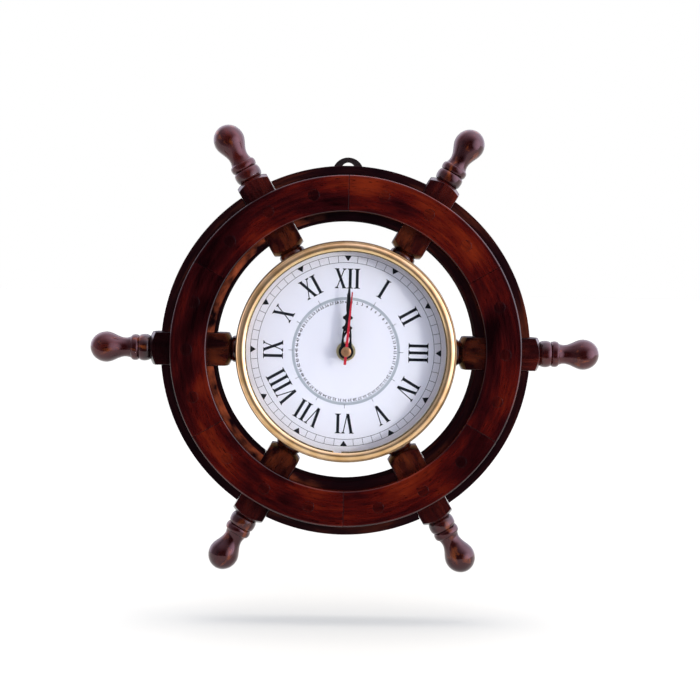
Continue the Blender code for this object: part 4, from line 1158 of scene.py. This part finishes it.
@dataclass
class BrassCase:
    """Brass drum, moulded bezel, split ring and glass."""

    sides: int = 160
    wall: float = 1.2 * MM
    wall_ease: float = 0.4 * MM
    rear_lip: float = 4.5 * MM
    ledge: float = 2.8 * MM
    ledge_back: float = 28.4 * MM
    ledge_front: float = 29.6 * MM
    step: float = 1.6 * MM
    band_inset: float = 0.4 * MM
    # The band's section: how far in from its outer edge, and how far below the bezel's front, in millimetres.
    band: tuple[Point, ...] = ((0.0, 2.6), (0.15, 1.6), (0.75, 0.9), (1.6, 1.15), (2.3, 0.75), (3.3, 0.25),
                               (4.6, 0.0), (5.7, 0.35))
    lip_back: float = 45.5 * MM
    lip_inner: float = 74.5 * MM
    lip_edge: float = 0.5 * MM
    glass_seat: float = 77.6 * MM
    glass_ease: float = 0.3 * MM
    ring_width: float = 3.6 * MM
    ring_ease: float = 0.2 * MM
    ring_split: float = 6.0 * MM
    split_angle: float = 266.0
    screws: int = 6
    screw_shank: float = 1.8 * MM
    screw_crown: float = 2.2 * MM
    screw_slot: float = 0.8 * MM

    def build(self) -> None:
        """Spins and hangs the brass pieces and sets the glass."""
        self.build_drum()
        self.build_bezel()
        self.build_glass()
        self.build_screws()
        self.build_ring()

    def build_drum(self) -> None:
        """Spins the drum with its rear lip and dial ledge."""
        back, front = levels("case_drum")
        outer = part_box("case_drum")[1].x
        bore = outer - self.wall
        ledge, lip, inside = bore - self.ledge, bore - self.rear_lip, back + self.wall
        profile = [
            (outer, back), (outer, front), (bore, front), (bore, self.ledge_front), (ledge, self.ledge_front),
            (ledge, self.ledge_back), (bore, self.ledge_back), (bore, inside), (lip, inside), (lip, back)]
        drum = ease(turned("spun_case", profile, self.sides), self.wall_ease, 3)
        hang(drum, CASE_BRASS, "case_brass", "case_drum")

    def build_bezel(self) -> None:
        """Spins the bezel: rim, bright step, groove, rounded band and inner lip."""
        back, front = levels("bezel")
        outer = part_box("bezel")[1].x
        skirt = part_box("case_drum")[1].x + GAP
        seat = levels("case_drum")[1] + GAP
        step = back + self.step
        groove = outer - 0.4 * (outer - skirt)
        band_back, band_outer = step + 0.5 * self.step, outer - self.band_inset
        band = [(band_outer - inward * MM, front - below * MM) for inward, below in self.band]
        band = flowing([*band, (self.lip_inner, self.lip_back + self.lip_edge)], 6)
        rim = [(outer - 0.3 * MM, back), (outer, back + 0.3 * MM), (outer, step - 0.5 * MM),
               (outer - 0.15 * MM, step - 0.15 * MM), (outer - 0.5 * MM, step)]
        profile = [
            (skirt, back), *rim, (groove, step), (groove, band_back), (band_outer, band_back), *band,
            (self.lip_inner, self.lip_back), (self.glass_seat, self.lip_back), (self.glass_seat, seat),
            (skirt, seat)]
        hang(turned("spun_bezel", profile, self.sides), BEZEL_BRASS, "bezel_brass", "bezel")

    def build_ring(self) -> None:
        """Bends the split ring that holds the glass, open a little left of the bottom."""
        back, front = levels("glass_ring")
        inner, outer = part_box("glass")[1].x - self.ring_width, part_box("glass")[1].x
        ring = turned("split_ring", oblong(inner, back, outer, front), self.sides)
        half = self.ring_split / 2
        gap = plate("gap", oblong(inner - MM, -half, outer + MM, half), back - MM, front + MM)
        combine(ring, put(gap, turn=self.split_angle))
        hang(ease(ring, self.ring_ease), BEZEL_BRASS, "bezel_brass", "glass_ring")

    def build_screws(self) -> None:
        """Turns a slotted round-head screw and sets six copies from inside the drum into the spokes."""
        low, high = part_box("spoke_screw_1")
        head, half = (high.z - low.z) / 2, self.screw_slot / 2
        crown = low.x + self.screw_crown
        profile = [(head * math.sin(a), low.x + 0.8 * self.screw_crown * (1 - math.cos(a))) for a in quarter(8)]
        profile += [(head, crown), (self.screw_shank, crown), (self.screw_shank, high.x - 2 * self.screw_shank),
                    (0.0, high.x)]
        master = turned("spoke_screw", profile, 32, closed=False, along_x=True)
        slot = oblong(low.x - MM, -half, low.x + self.screw_slot, half)
        combine(master, plate("slot", slot, -head - MM, head + MM))
        names = [f"spoke_screw_{number + 1}" for number in range(self.screws)]
        for number, screw in enumerate(copies(master, [f"slotted_{name}" for name in names])):
            put(screw, z=sum(levels("spoke_screw_1")) / 2, turn=number * 360 / self.screws)
            hang(screw, SCREW_STEEL, "screw_steel", names[number])

    def build_glass(self) -> None:
        """Cuts the round pane and grinds its edge."""
        back, front = levels("glass")
        pane = turned("glass_pane", oblong(0.0, back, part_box("glass")[1].x, front), self.sides, closed=False)
        hang(ease(pane, self.glass_ease), GLASS, "clear_glass", "glass", smooth=5.0)


@dataclass
class DialPrint:
    """What is printed on the dial: minute track, hour marks, Roman numerals, grey ring and minute figures."""

    lift: float = 0.05 * MM
    sunk: float = 0.1 * MM
    overprint: float = 0.02 * MM
    track: Point = (65.9 * MM, 71.0 * MM)
    track_line: float = 0.34 * MM
    mark_base: float = 5.4 * MM
    mark_height: float = 4.1 * MM
    numeral: Point = (46.7 * MM, 61.5 * MM)
    stem: float = 2.2 * MM
    hair: float = 0.78 * MM
    hair_shift: float = 0.3 * MM
    serif: float = 0.68 * MM
    foot: float = 4.5 * MM
    stem_serif: float = 3.6 * MM
    hair_serif: float = 2.8 * MM
    side_space: float = 1.7 * MM
    advance_i: float = 5.2 * MM
    width_v: float = 9.3 * MM
    width_x: float = 9.0 * MM
    grey_ring: Point = (38.2 * MM, 40.3 * MM)
    hour_tick: float = 42.8 * MM
    figure_radius: float = 36.6 * MM
    figure_size: float = 3.0 * MM
    figure_weight: float = 0.07 * MM
    turn: float = -0.4
    back: float = field(init=False, default=0.0)
    front: float = field(init=False, default=0.0)

    def build(self) -> None:
        """Prints the dial from the outer track to the small figures."""
        back, front = levels("dial")
        self.back, self.front = front - self.sunk, front + self.lift
        dress(DialEnamel("stoved_white_enamel", middle=WALL - (back + front) / 2), "dial")
        self.print_track()
        self.print_numerals()
        self.print_inner_ring()

    def ring(self, name: str, inner: float, outer: float) -> Piece:
        """Thin printed ring between two radii."""
        return turned(name, oblong(inner, self.back, outer, self.front), 240)

    def around(self, master: Piece, name: str, turns: Sequence[float]) -> Piece:
        """Sets copies of a mark round the dial and joins them.

        Args:
            master: Mark at 12 o'clock, used up.
            name: Name of the joined piece.
            turns: Clockwise angles in degrees.

        Returns:
            The joined marks.
        """
        marks = copies(master, [f"{name}_mark"] * len(turns))
        return join(name, [put(mark, turn=self.turn - turn) for mark, turn in zip(marks, turns)])

    def print_track(self) -> None:
        """Prints the two track lines, the minute strokes and the twelve triangles."""
        inner, outer = self.track
        half = self.track_line / 2
        lines = [self.ring("track_line", radius - half, radius + half) for radius in self.track]
        stroke = plate("stroke", oblong(-half, inner, half, outer), self.back, self.front)
        minutes = self.around(stroke, "strokes", [6.0 * n for n in range(60) if n % 5])
        hang(join("printed_minute_track", [*lines, minutes]), GREY_INK, "dial_white")
        base = self.mark_base / 2
        triangle = plate("triangle", [(-base, outer), (0.0, outer - self.mark_height), (base, outer)],
                         self.back, self.front + self.overprint)
        marks = self.around(triangle, "printed_hour_marks", [30.0 * n for n in range(12)])
        hang(marks, INK, "dial_white")

    def stroke(self, bottom: float, top: float, width: float) -> Piece:
        """One straight stroke of a letter, cut off level at foot and head.

        Args:
            bottom: Middle of its foot.
            top: Middle of its head.
            width: Width along the cut.

        Returns:
            The stroke's plate.
        """
        low, high = self.numeral
        half = width / 2
        corners = [(bottom - half, low), (bottom + half, low), (top + half, high), (top - half, high)]
        return plate("stroke", corners, self.back, self.front)

    def serifs(self, spots: Sequence[tuple[float, float, bool]]) -> list[Piece]:
        """Bracketed serifs of a letter.

        Args:
            spots: Middle, width and whether it is at the head, for each serif.

        Returns:
            The serif plates.
        """
        low, high = self.numeral
        made = []
        for middle, width, head in spots:
            edge, way = (high, -1) if head else (low, 1)
            half, thin, thick = width / 2, edge + way * 0.5 * self.serif, edge + way * 1.8 * self.serif
            corners = [(middle - half, edge), (middle + half, edge), (middle + half, thin),
                       (middle + 0.3 * half, thick), (middle - 0.3 * half, thick), (middle - half, thin)]
            made.append(plate("serif", corners if way > 0 else corners[::-1], self.back, self.front))
        return made

    def letter(self, sign: str) -> Piece:
        """Draws I, V or X once, centred on x = 0.

        Args:
            sign: The letter.

        Returns:
            The letter as one closed mesh.
        """
        if sign == "I":
            parts = [self.stroke(0.0, 0.0, self.stem)]
            parts += self.serifs([(0.0, self.foot, True), (0.0, self.foot, False)])
        elif sign == "V":
            reach = self.width_v / 2 - self.side_space
            right = reach + self.hair_shift
            parts = [self.stroke(0.0, -reach, self.stem), self.stroke(0.35 * MM, right, self.hair)]
            parts += self.serifs([(-reach, self.stem_serif, True), (right, self.hair_serif, True)])
        else:
            reach = self.width_x / 2 - self.side_space
            parts = [self.stroke(reach, -reach, self.stem), self.stroke(-reach, reach, self.hair)]
            parts += self.serifs([(-reach, self.stem_serif, True), (reach, self.hair_serif, True),
                                  (reach, self.stem_serif, False), (-reach, self.hair_serif, False)])
        made = parts[0]
        for part in parts[1:]:
            combine(made, part, "UNION")
        made.name = f"letter_{sign}"
        return made

    def print_numerals(self) -> None:
        """Prints the numerals I to XII, feet towards the centre."""
        letters = {sign: self.letter(sign) for sign in "IVX"}
        widths = {"I": self.advance_i, "V": self.width_v, "X": self.width_x}
        numerals = ("XII", "I", "II", "III", "IV", "V", "VI", "VII", "VIII", "IX", "X", "XI")
        for hour, text in enumerate(numerals):
            start = -sum(widths[sign] for sign in text) / 2
            signs = []
            for sign in text:
                signs.append(put(duplicate(letters[sign], "sign"), x=start + widths[sign] / 2))
                start += widths[sign]
            numeral = join(f"printed_numeral_{hour or 12}", signs)
            hang(put(numeral, turn=self.turn - 30.0 * hour), INK, "dial_white")
        for letter in letters.values():
            bpy.data.objects.remove(letter, do_unlink=True)

    def print_inner_ring(self) -> None:
        """Prints the grey ring with its hour ticks and the figures 1 to 60."""
        hang(self.ring("printed_grey_ring", *self.grey_ring), PALE_INK, "dial_white")
        half = self.track_line / 2
        tick = plate("tick", oblong(-half, self.grey_ring[1] - MM, half, self.hour_tick),
                     self.back, self.front + self.overprint)
        ticks = self.around(tick, "printed_hour_ticks", [30.0 * n for n in range(12)])
        hang(ticks, GREY_INK, "dial_white")
        figures = []
        for number in range(1, 61):
            clear()
            bpy.ops.object.text_add()
            text = bpy.context.object
            text.data.body, text.data.size = str(number), self.figure_size
            text.data.align_x, text.data.align_y = "CENTER", "CENTER"
            text.data.resolution_u, text.data.extrude = 1, (self.front - self.back) / 2
            text.data.offset = self.figure_weight
            bpy.ops.object.convert(target="MESH")
            figure = put(bpy.context.object, y=self.figure_radius, z=(self.front + self.back) / 2)
            figures.append(put(figure, turn=self.turn - 6.0 * number))
        hang(join("printed_minute_figures", figures), INK, "dial_white")


@dataclass
class Hands:
    """Ornate hour and minute hands, red second hand and its cap.

    A black hand is given as (boss radius, height of the side knobs, reach), the second hand as (reach, tail,
    half width, boss radius). Bores and rest angles stand in the order hour, minute, second.
    """

    hour: Triple = (5.5 * MM, 17.6 * MM, 34.0 * MM)
    minute: Triple = (4.8 * MM, 25.2 * MM, 49.6 * MM)
    second: tuple[float, float, float, float] = (44.3 * MM, 9.75 * MM, 1.0 * MM, 2.6 * MM)
    bores: Triple = (2.6 * MM, 1.7 * MM, 0.7 * MM)
    rest: Triple = (2.0, 2.0, 5.0)
    knob: float = 1.2 * MM
    spread: float = 2.5 * MM
    waist: float = 1.3 * MM
    loop: float = 3.3 * MM
    band: float = 1.2 * MM
    edge: float = 0.1 * MM
    cap_edge: float = 0.15 * MM

    def build(self) -> None:
        """Cuts and hangs the three hands and the cap."""
        for name, sizes, rest, bore, body in (
                ("hour", self.hour, self.rest[0], self.bores[0], Body.HOUR),
                ("minute", self.minute, self.rest[1], self.bores[1], Body.MINUTE)):
            back, front = levels(f"{name}_hand")
            blade = self.ornate(f"lacquered_{name}_hand", sizes, bore, back, front)
            hang(put(blade, turn=-rest), HAND_BLACK, "hand_black", f"{name}_hand", body=body)
        self.build_second()
        self.build_cap()

    def ornate(self, name: str, sizes: Triple, bore: float, back: float, front: float) -> Piece:
        """Cuts one ornate hand: boss, open loop, two side knobs and a slim leaf.

        Args:
            name: Name of the hand.
            sizes: Boss radius, height of the knobs and reach.
            bore: Radius of the tube hole.
            back: Level of its back.
            front: Level of its front.

        Returns:
            The hand pointing up.
        """
        boss, knob, reach = sizes
        loop_end = knob - 2.2 * self.knob
        leaf = knob + 0.35 * (reach - knob)
        start = arc(boss, -90, 42, 22)
        side = flowing([start[-1], (self.loop, (boss + loop_end) / 2), (self.waist, loop_end)], 8)[1:]
        ball = arc(self.knob, -81, 81, 14, (self.spread, knob))
        blade = flowing([(0.8 * self.waist, knob + 2.4 * self.knob), (1.25 * self.waist, leaf),
                         (0.5 * self.waist, reach - 0.16 * (reach - leaf)), (0.0, reach)], 6)
        hand = plate(name, mirrored([*start, *side, *ball, *blade]), back, front)
        wide = self.loop - self.band
        bottom, top = boss + 0.35 * self.band, knob - 3.2 * self.knob
        opening = flowing([(0.0, bottom), (0.8 * wide, bottom + 0.2 * wide), (wide, (boss + top) / 2),
                           (0.0, top)], 6)
        combine(hand, plate("opening", mirrored([(max(x, 0.0), y) for x, y in opening]), back - MM, front + MM))
        combine(hand, plate("bore", arc(bore, 0, 350, 35), back - MM, front + MM))
        return ease(hand, self.edge, 2, 40.0)

    def build_second(self) -> None:
        """Cuts the slim second hand with its boss and tail."""
        reach, tail, half, boss = self.second
        back, front = levels("second_hand")
        flank = math.degrees(math.acos(half / boss))
        right = [(0.7 * half, -tail), (half, -tail + 0.3 * half), *arc(boss, -flank, flank, 20),
                 (0.5 * half, reach)]
        hand = plate("lacquered_second_hand", mirrored(right), back, front)
        combine(hand, plate("bore", arc(self.bores[2], 0, 345, 23), back - MM, front + MM))
        put(ease(hand, self.edge, 2, 40.0), turn=-self.rest[2])
        hang(hand, HAND_RED, "second_hand_red", "second_hand", body=Body.SECOND)

    def build_cap(self) -> None:
        """Presses the round cap of the second hand."""
        back, front = levels("second_hand_cap")
        radius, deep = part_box("second_hand_cap")[1].x, front - back
        bore, socket = self.bores[2], back + 0.5 * deep
        dome = [(radius * math.cos(a) ** 0.7, back + deep * (0.35 + 0.65 * math.sin(a)))
                for a in quarter(9)[:-1]]
        profile = [(0.0, socket), (bore, socket), (bore, back), (radius - self.cap_edge, back),
                   (radius, back + self.cap_edge), *dome, (0.0, front)]
        cap = turned("second_cap", profile, 64, closed=False)
        hang(cap, CAP_BRASS, "hub_brass", "second_hand_cap", body=Body.SECOND)


@dataclass
class Movement:
    """Quartz movement behind the dial, with its battery, and the washer and nut in front."""

    softness: float = 0.3 * MM
    washer_bore: float = 4.3 * MM
    washer_ease: float = 0.2 * MM
    arrow: Point = (6.4 * MM, 7.1 * MM)
    barb: float = 1.2 * MM
    pole: float = 1.6 * MM
    pole_width: float = 0.7 * MM
    pole_place: Point = (21.0 * MM, -5.5 * MM)
    relief: float = 0.15 * MM
    nub_radius: float = 2.75 * MM
    nub_height: float = 1.0 * MM
    crimp: float = 0.6 * MM

    def build(self) -> None:
        """Builds the washer, mouldings and battery and dresses the other pieces."""
        back, front = levels("brass_washer")
        section = oblong(self.washer_bore, back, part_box("brass_washer")[1].x, front)
        washer = ease(turned("turned_washer", section, 96), self.washer_ease, 3)
        hang(washer, WASHER_BRASS, "hub_brass", "brass_washer")
        dress(WASHER_BRASS, "hex_nut")
        self.build_moulding("movement_case", MOVEMENT_BLACK)
        self.build_moulding("movement_cover", COVER_BLACK)
        self.build_marks()
        dress(NYLON, "cannon_pinion", "setting_wheel", "hour_wheel", "fifth_wheel", "second_wheel",
              "third_wheel", "centre_wheel")
        dress(FERRITE, "rotor")
        dress(STATOR_STEEL, "stator")
        dress(COPPER, "coil")
        dress(BOARD, "circuit_board")
        dress(CONTACT_STEEL, "contact_positive", "contact_negative")
        self.build_battery()

    def build_moulding(self, name: str, finish: Finish) -> None:
        """Takes a copy of a moulded CAD piece, softens its edges and hangs it in the node's place.

        Args:
            name: Name of the CAD node.
            finish: Its surface finish.
        """
        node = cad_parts[name]
        piece = bpy.data.objects.new(f"moulded_{name}", node.data.copy())
        bpy.context.scene.collection.objects.link(piece)
        to_front = Matrix.Rotation(-math.pi / 2, 4, "X") @ Matrix.Translation((0.0, -WALL, 0.0))
        piece.matrix_world = to_front @ node.matrix_world
        take(piece)
        bpy.ops.object.transform_apply(location=True, rotation=True, scale=True)
        bpy.ops.object.mode_set(mode="EDIT")
        bpy.ops.mesh.select_all(action="SELECT")
        bpy.ops.mesh.remove_doubles(threshold=1e-6)
        bpy.ops.mesh.dissolve_limited(angle_limit=math.radians(1.0))
        close_up()
        hang(ease(piece, self.softness, 2, 50.0), finish, "movement_plastic", name)

    def build_marks(self) -> None:
        """Raises the moulded marks on the cover: the way that the knob turns and the poles of the battery."""
        low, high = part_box("setting_wheel")
        knob = ((low.x + high.x) / 2, (low.z + high.z) / 2)
        skin = levels("movement_cover")[0]
        inner, outer = self.arrow
        middle = (inner + outer) / 2
        (root_x, root_y), tip = (arc(middle, angle, angle, 1, knob)[0] for angle in (180, 196))
        swept = arc(outer, 60, 180, 24, knob)
        swept += [(root_x - self.barb, root_y), tip, (root_x + self.barb, root_y)]
        outlines = [swept + arc(inner, 180, 60, 24, knob)]
        bar, width = self.pole, self.pole_width / 2
        across, level = self.pole_place
        for x in (across, -across):
            outlines.append(oblong(x - bar, level - width, x + bar, level + width))
        # The upright of the plus sign is in two pieces that stop just short of its bar.
        for near, far in ((-bar, -width - 0.02 * MM), (width + 0.02 * MM, bar)):
            outlines.append(oblong(across - width, level + near, across + width, level + far))
        marks = [plate("mark", outline, skin - self.relief, skin + self.relief) for outline in outlines]
        hang(join("moulded_marks", marks), COVER_BLACK, "movement_plastic")

    def build_battery(self) -> None:
        """Draws the dry cell with its crimped ends and nub."""
        low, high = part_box("battery")
        radius, nub = (high.z - low.z) / 2, self.nub_radius
        shoulder = high.x - self.nub_height
        soft = [(radius - self.crimp + self.crimp * math.sin(a), self.crimp * (1 - math.cos(a)))
                for a in quarter(5)]
        profile = [(0.0, low.x + 0.2 * MM), (radius - 1.5 * MM, low.x + 0.2 * MM),
                   (radius - 2 * self.crimp, low.x)]
        profile += [(r, low.x + z) for r, z in soft]
        profile += [(r, shoulder - z) for r, z in reversed(soft)]
        profile += [(radius - 2 * self.crimp, shoulder), (radius - 1.6 * MM, shoulder - 0.4 * MM),
                    (nub + 0.6 * MM, shoulder - 0.3 * MM), (nub, shoulder), (nub, high.x - 0.2 * MM),
                    (nub - 0.3 * MM, high.x), (0.0, high.x)]
        cell = turned("dry_cell", profile, 64, closed=False, along_x=True)
        put(cell, y=(low.z + high.z) / 2, z=WALL - (low.y + high.y) / 2)
        foil = BatteryFoil("printed_battery_foil", left=low.x, right=shoulder)
        hang(cell, foil, "battery_sleeve", "battery")


# Studio

@dataclass
class Studio:
    """White sweep, soft light from the right, and the camera."""

    floor: float = -0.205
    sweep: float = 20.0
    apron: float = 0.3
    distance: float = 1.05
    view: float = 28.07
    azimuth: float = -1.3
    elevation: float = 3.0
    roll: float = 1.05
    shift: Point = (4.4 / 700, 0.7 / 700)
    key_place: Vector = field(default_factory=lambda: Vector((0.93, -0.756, 0.072)))
    key_power: float = 5.7
    key_size: float = 0.13
    key_colour: Triple = (1.0, 0.95, 0.88)
    top_strength: float = 2.5
    top_spread: float = 26.0
    ambient: float = 2.0
    ambient_tint: str = "#e5eeff"
    mirrored_tint: str = "#efe8fb"
    dial_fill: float = 1.0
    dial_tint: str = "#dfe7fd"
    bright_side: Triple = (0.97, 0.0, -0.05)

    def build(self) -> None:
        """Sets floor, light, world and camera."""
        scene = bpy.context.scene
        scene.view_settings.view_transform = "Standard"
        self.build_floor()
        self.build_world(scene)
        self.build_lights(scene)
        self.build_camera(scene)

    def build_floor(self) -> None:
        """Lays the white sweep, which keeps the clock's shadow."""
        clear()
        middle = (0.0, self.sweep / 2 - self.apron, self.floor)
        bpy.ops.mesh.primitive_plane_add(size=self.sweep, location=middle)
        sweep = bpy.context.object
        sweep.name = "white_sweep"
        sweep.data.materials.append(MattSweep("matt_white_sweep").material())

    def build_world(self, scene: bpy.types.Scene) -> None:
        """Lights the clock from a cool white tent, which shiny surfaces mirror, and shows plain white.

        Args:
            scene: Scene that gets the world.
        """
        world = bpy.data.worlds.new("white_tent")
        world.use_nodes = True
        tree = world.node_tree
        tree.nodes.clear()
        shown, shiny, through = (add(tree, "LightPath", out=f"Is {ray} Ray") for ray in (
            "Camera", "Glossy", "Transmission"))
        level = add(tree, "Mix", {0: shiny, 2: self.ambient, 3: self.tent(tree, through)})
        level = add(tree, "Mix", {0: shown, 2: level, 3: 1.0})
        tint = linear(self.ambient_tint)
        for ray, code in ((shiny, self.mirrored_tint), (through, self.dial_tint), (shown, "#ffffff")):
            tint = add(tree, "Mix", {0: ray, 6: tint, 7: linear(code)}, out=2, data_type="RGBA")
        glow = add(tree, "Background", {"Color": tint, "Strength": level})
        add(tree, "OutputWorld", {"Surface": glow})
        scene.world = world

    def tent(self, tree: Tree, through: Socket) -> Socket:
        """Builds what shiny surfaces mirror, and what comes through the glass.

        Args:
            tree: Node tree of the world.
            through: 1 for a ray that has come through the glass, else 0.

        Returns:
            The brightness in each direction.
        """
        way = add(tree, "TexCoord", out="Generated")
        ahead = add(tree, "SeparateXYZ", {0: way}, out="Y")
        # The tent is dark on the camera's side and straight behind the clock.
        tent = add(tree, "MapRange", {0: ahead, 1: -0.89, 2: -0.25, 3: 0.0, 4: 1.6})
        behind = add(tree, "MapRange", {0: ahead, 1: 0.8, 2: 0.97, 3: 1.0, 4: 0.1})
        tent = add(tree, "Math", {0: tent, 1: behind}, operation="MULTIPLY")
        # In front of the clock its right side is bright and its left side dim.
        lean = add(tree, "VectorMath", {0: way, 1: self.bright_side}, operation="DOT_PRODUCT", out="Value")
        side = add(tree, "MapRange", {0: lean, 1: -0.7, 2: 0.7, 3: 0.35, 4: 2.1})
        far = add(tree, "MapRange", {0: ahead, 1: 0.05, 2: 0.5})
        side = add(tree, "Mix", {0: far, 2: side, 3: 1.2})
        # The soft box shows as a bright spot.
        toward = self.key_place.normalized()
        box = add(tree, "VectorMath", {0: way, 1: toward}, operation="DOT_PRODUCT", out="Value")
        box = add(tree, "MapRange", {0: box, 1: 0.82, 2: 0.98, 3: 0.0, 4: 2.1})
        tent = add(tree, "Math", {0: tent, 1: side, 2: box}, operation="MULTIPLY_ADD")
        # Through the glass more comes in from the left, and fills the bezel's shadow on the dial.
        fill = add(tree, "MapRange", {0: lean, 1: 0.1, 2: -0.6, 3: 0.0, 4: self.dial_fill})
        return add(tree, "Math", {0: through, 1: fill, 2: tent}, operation="MULTIPLY_ADD")

    def build_lights(self, scene: bpy.types.Scene) -> None:
        """Hangs the key soft box on the right and the broad overhead light that gives the floor its shadow.

        Args:
            scene: Scene that gets the lights.
        """
        place = self.key_place
        key = bpy.data.lights.new("key_soft_box", "AREA")
        key.energy, key.size, key.color = self.key_power, self.key_size, self.key_colour
        top = bpy.data.lights.new("overhead_light", "SUN")
        top.energy, top.angle = self.top_strength, math.radians(self.top_spread)
        for data, matrix in (
                (key, Matrix.Translation(place) @ place.to_track_quat("Z", "Y").to_matrix().to_4x4()),
                (top, Matrix.Translation((0.0, 0.0, 1.0)))):
            light = bpy.data.objects.new(data.name, data)
            light.matrix_world, light.visible_glossy = matrix, False
            scene.collection.objects.link(light)

    def build_camera(self, scene: bpy.types.Scene) -> None:
        """Sets the camera in front, a little to the left and above.

        Args:
            scene: Scene that gets the camera.
        """
        data = bpy.data.cameras.new("camera")
        data.sensor_fit = "HORIZONTAL"
        data.angle_x = math.radians(self.view)
        data.shift_x, data.shift_y = self.shift
        camera = bpy.data.objects.new("camera", data)
        side, up = math.radians(self.azimuth), math.radians(self.elevation)
        back = Vector((math.sin(side) * math.cos(up), -math.cos(side) * math.cos(up), math.sin(up)))
        roll = Matrix.Rotation(math.radians(self.roll), 4, "Z")
        aim = back.to_track_quat("Z", "Y").to_matrix().to_4x4() @ roll
        camera.matrix_world = Matrix.Translation(back * self.distance) @ aim
        scene.collection.objects.link(camera)
        scene.camera = camera


def main() -> None:
    """Builds every sub-assembly in order."""
    logging.basicConfig(level=logging.INFO, format="%(message)s")
    for assembly in (Studio(), ShipWheel(), EyePlate(), BrassCase(), DialPrint(), Hands(), Movement()):
        log.info("Building %s", type(assembly).__name__)
        assembly.build()


if __name__ == "__main__":
    main()
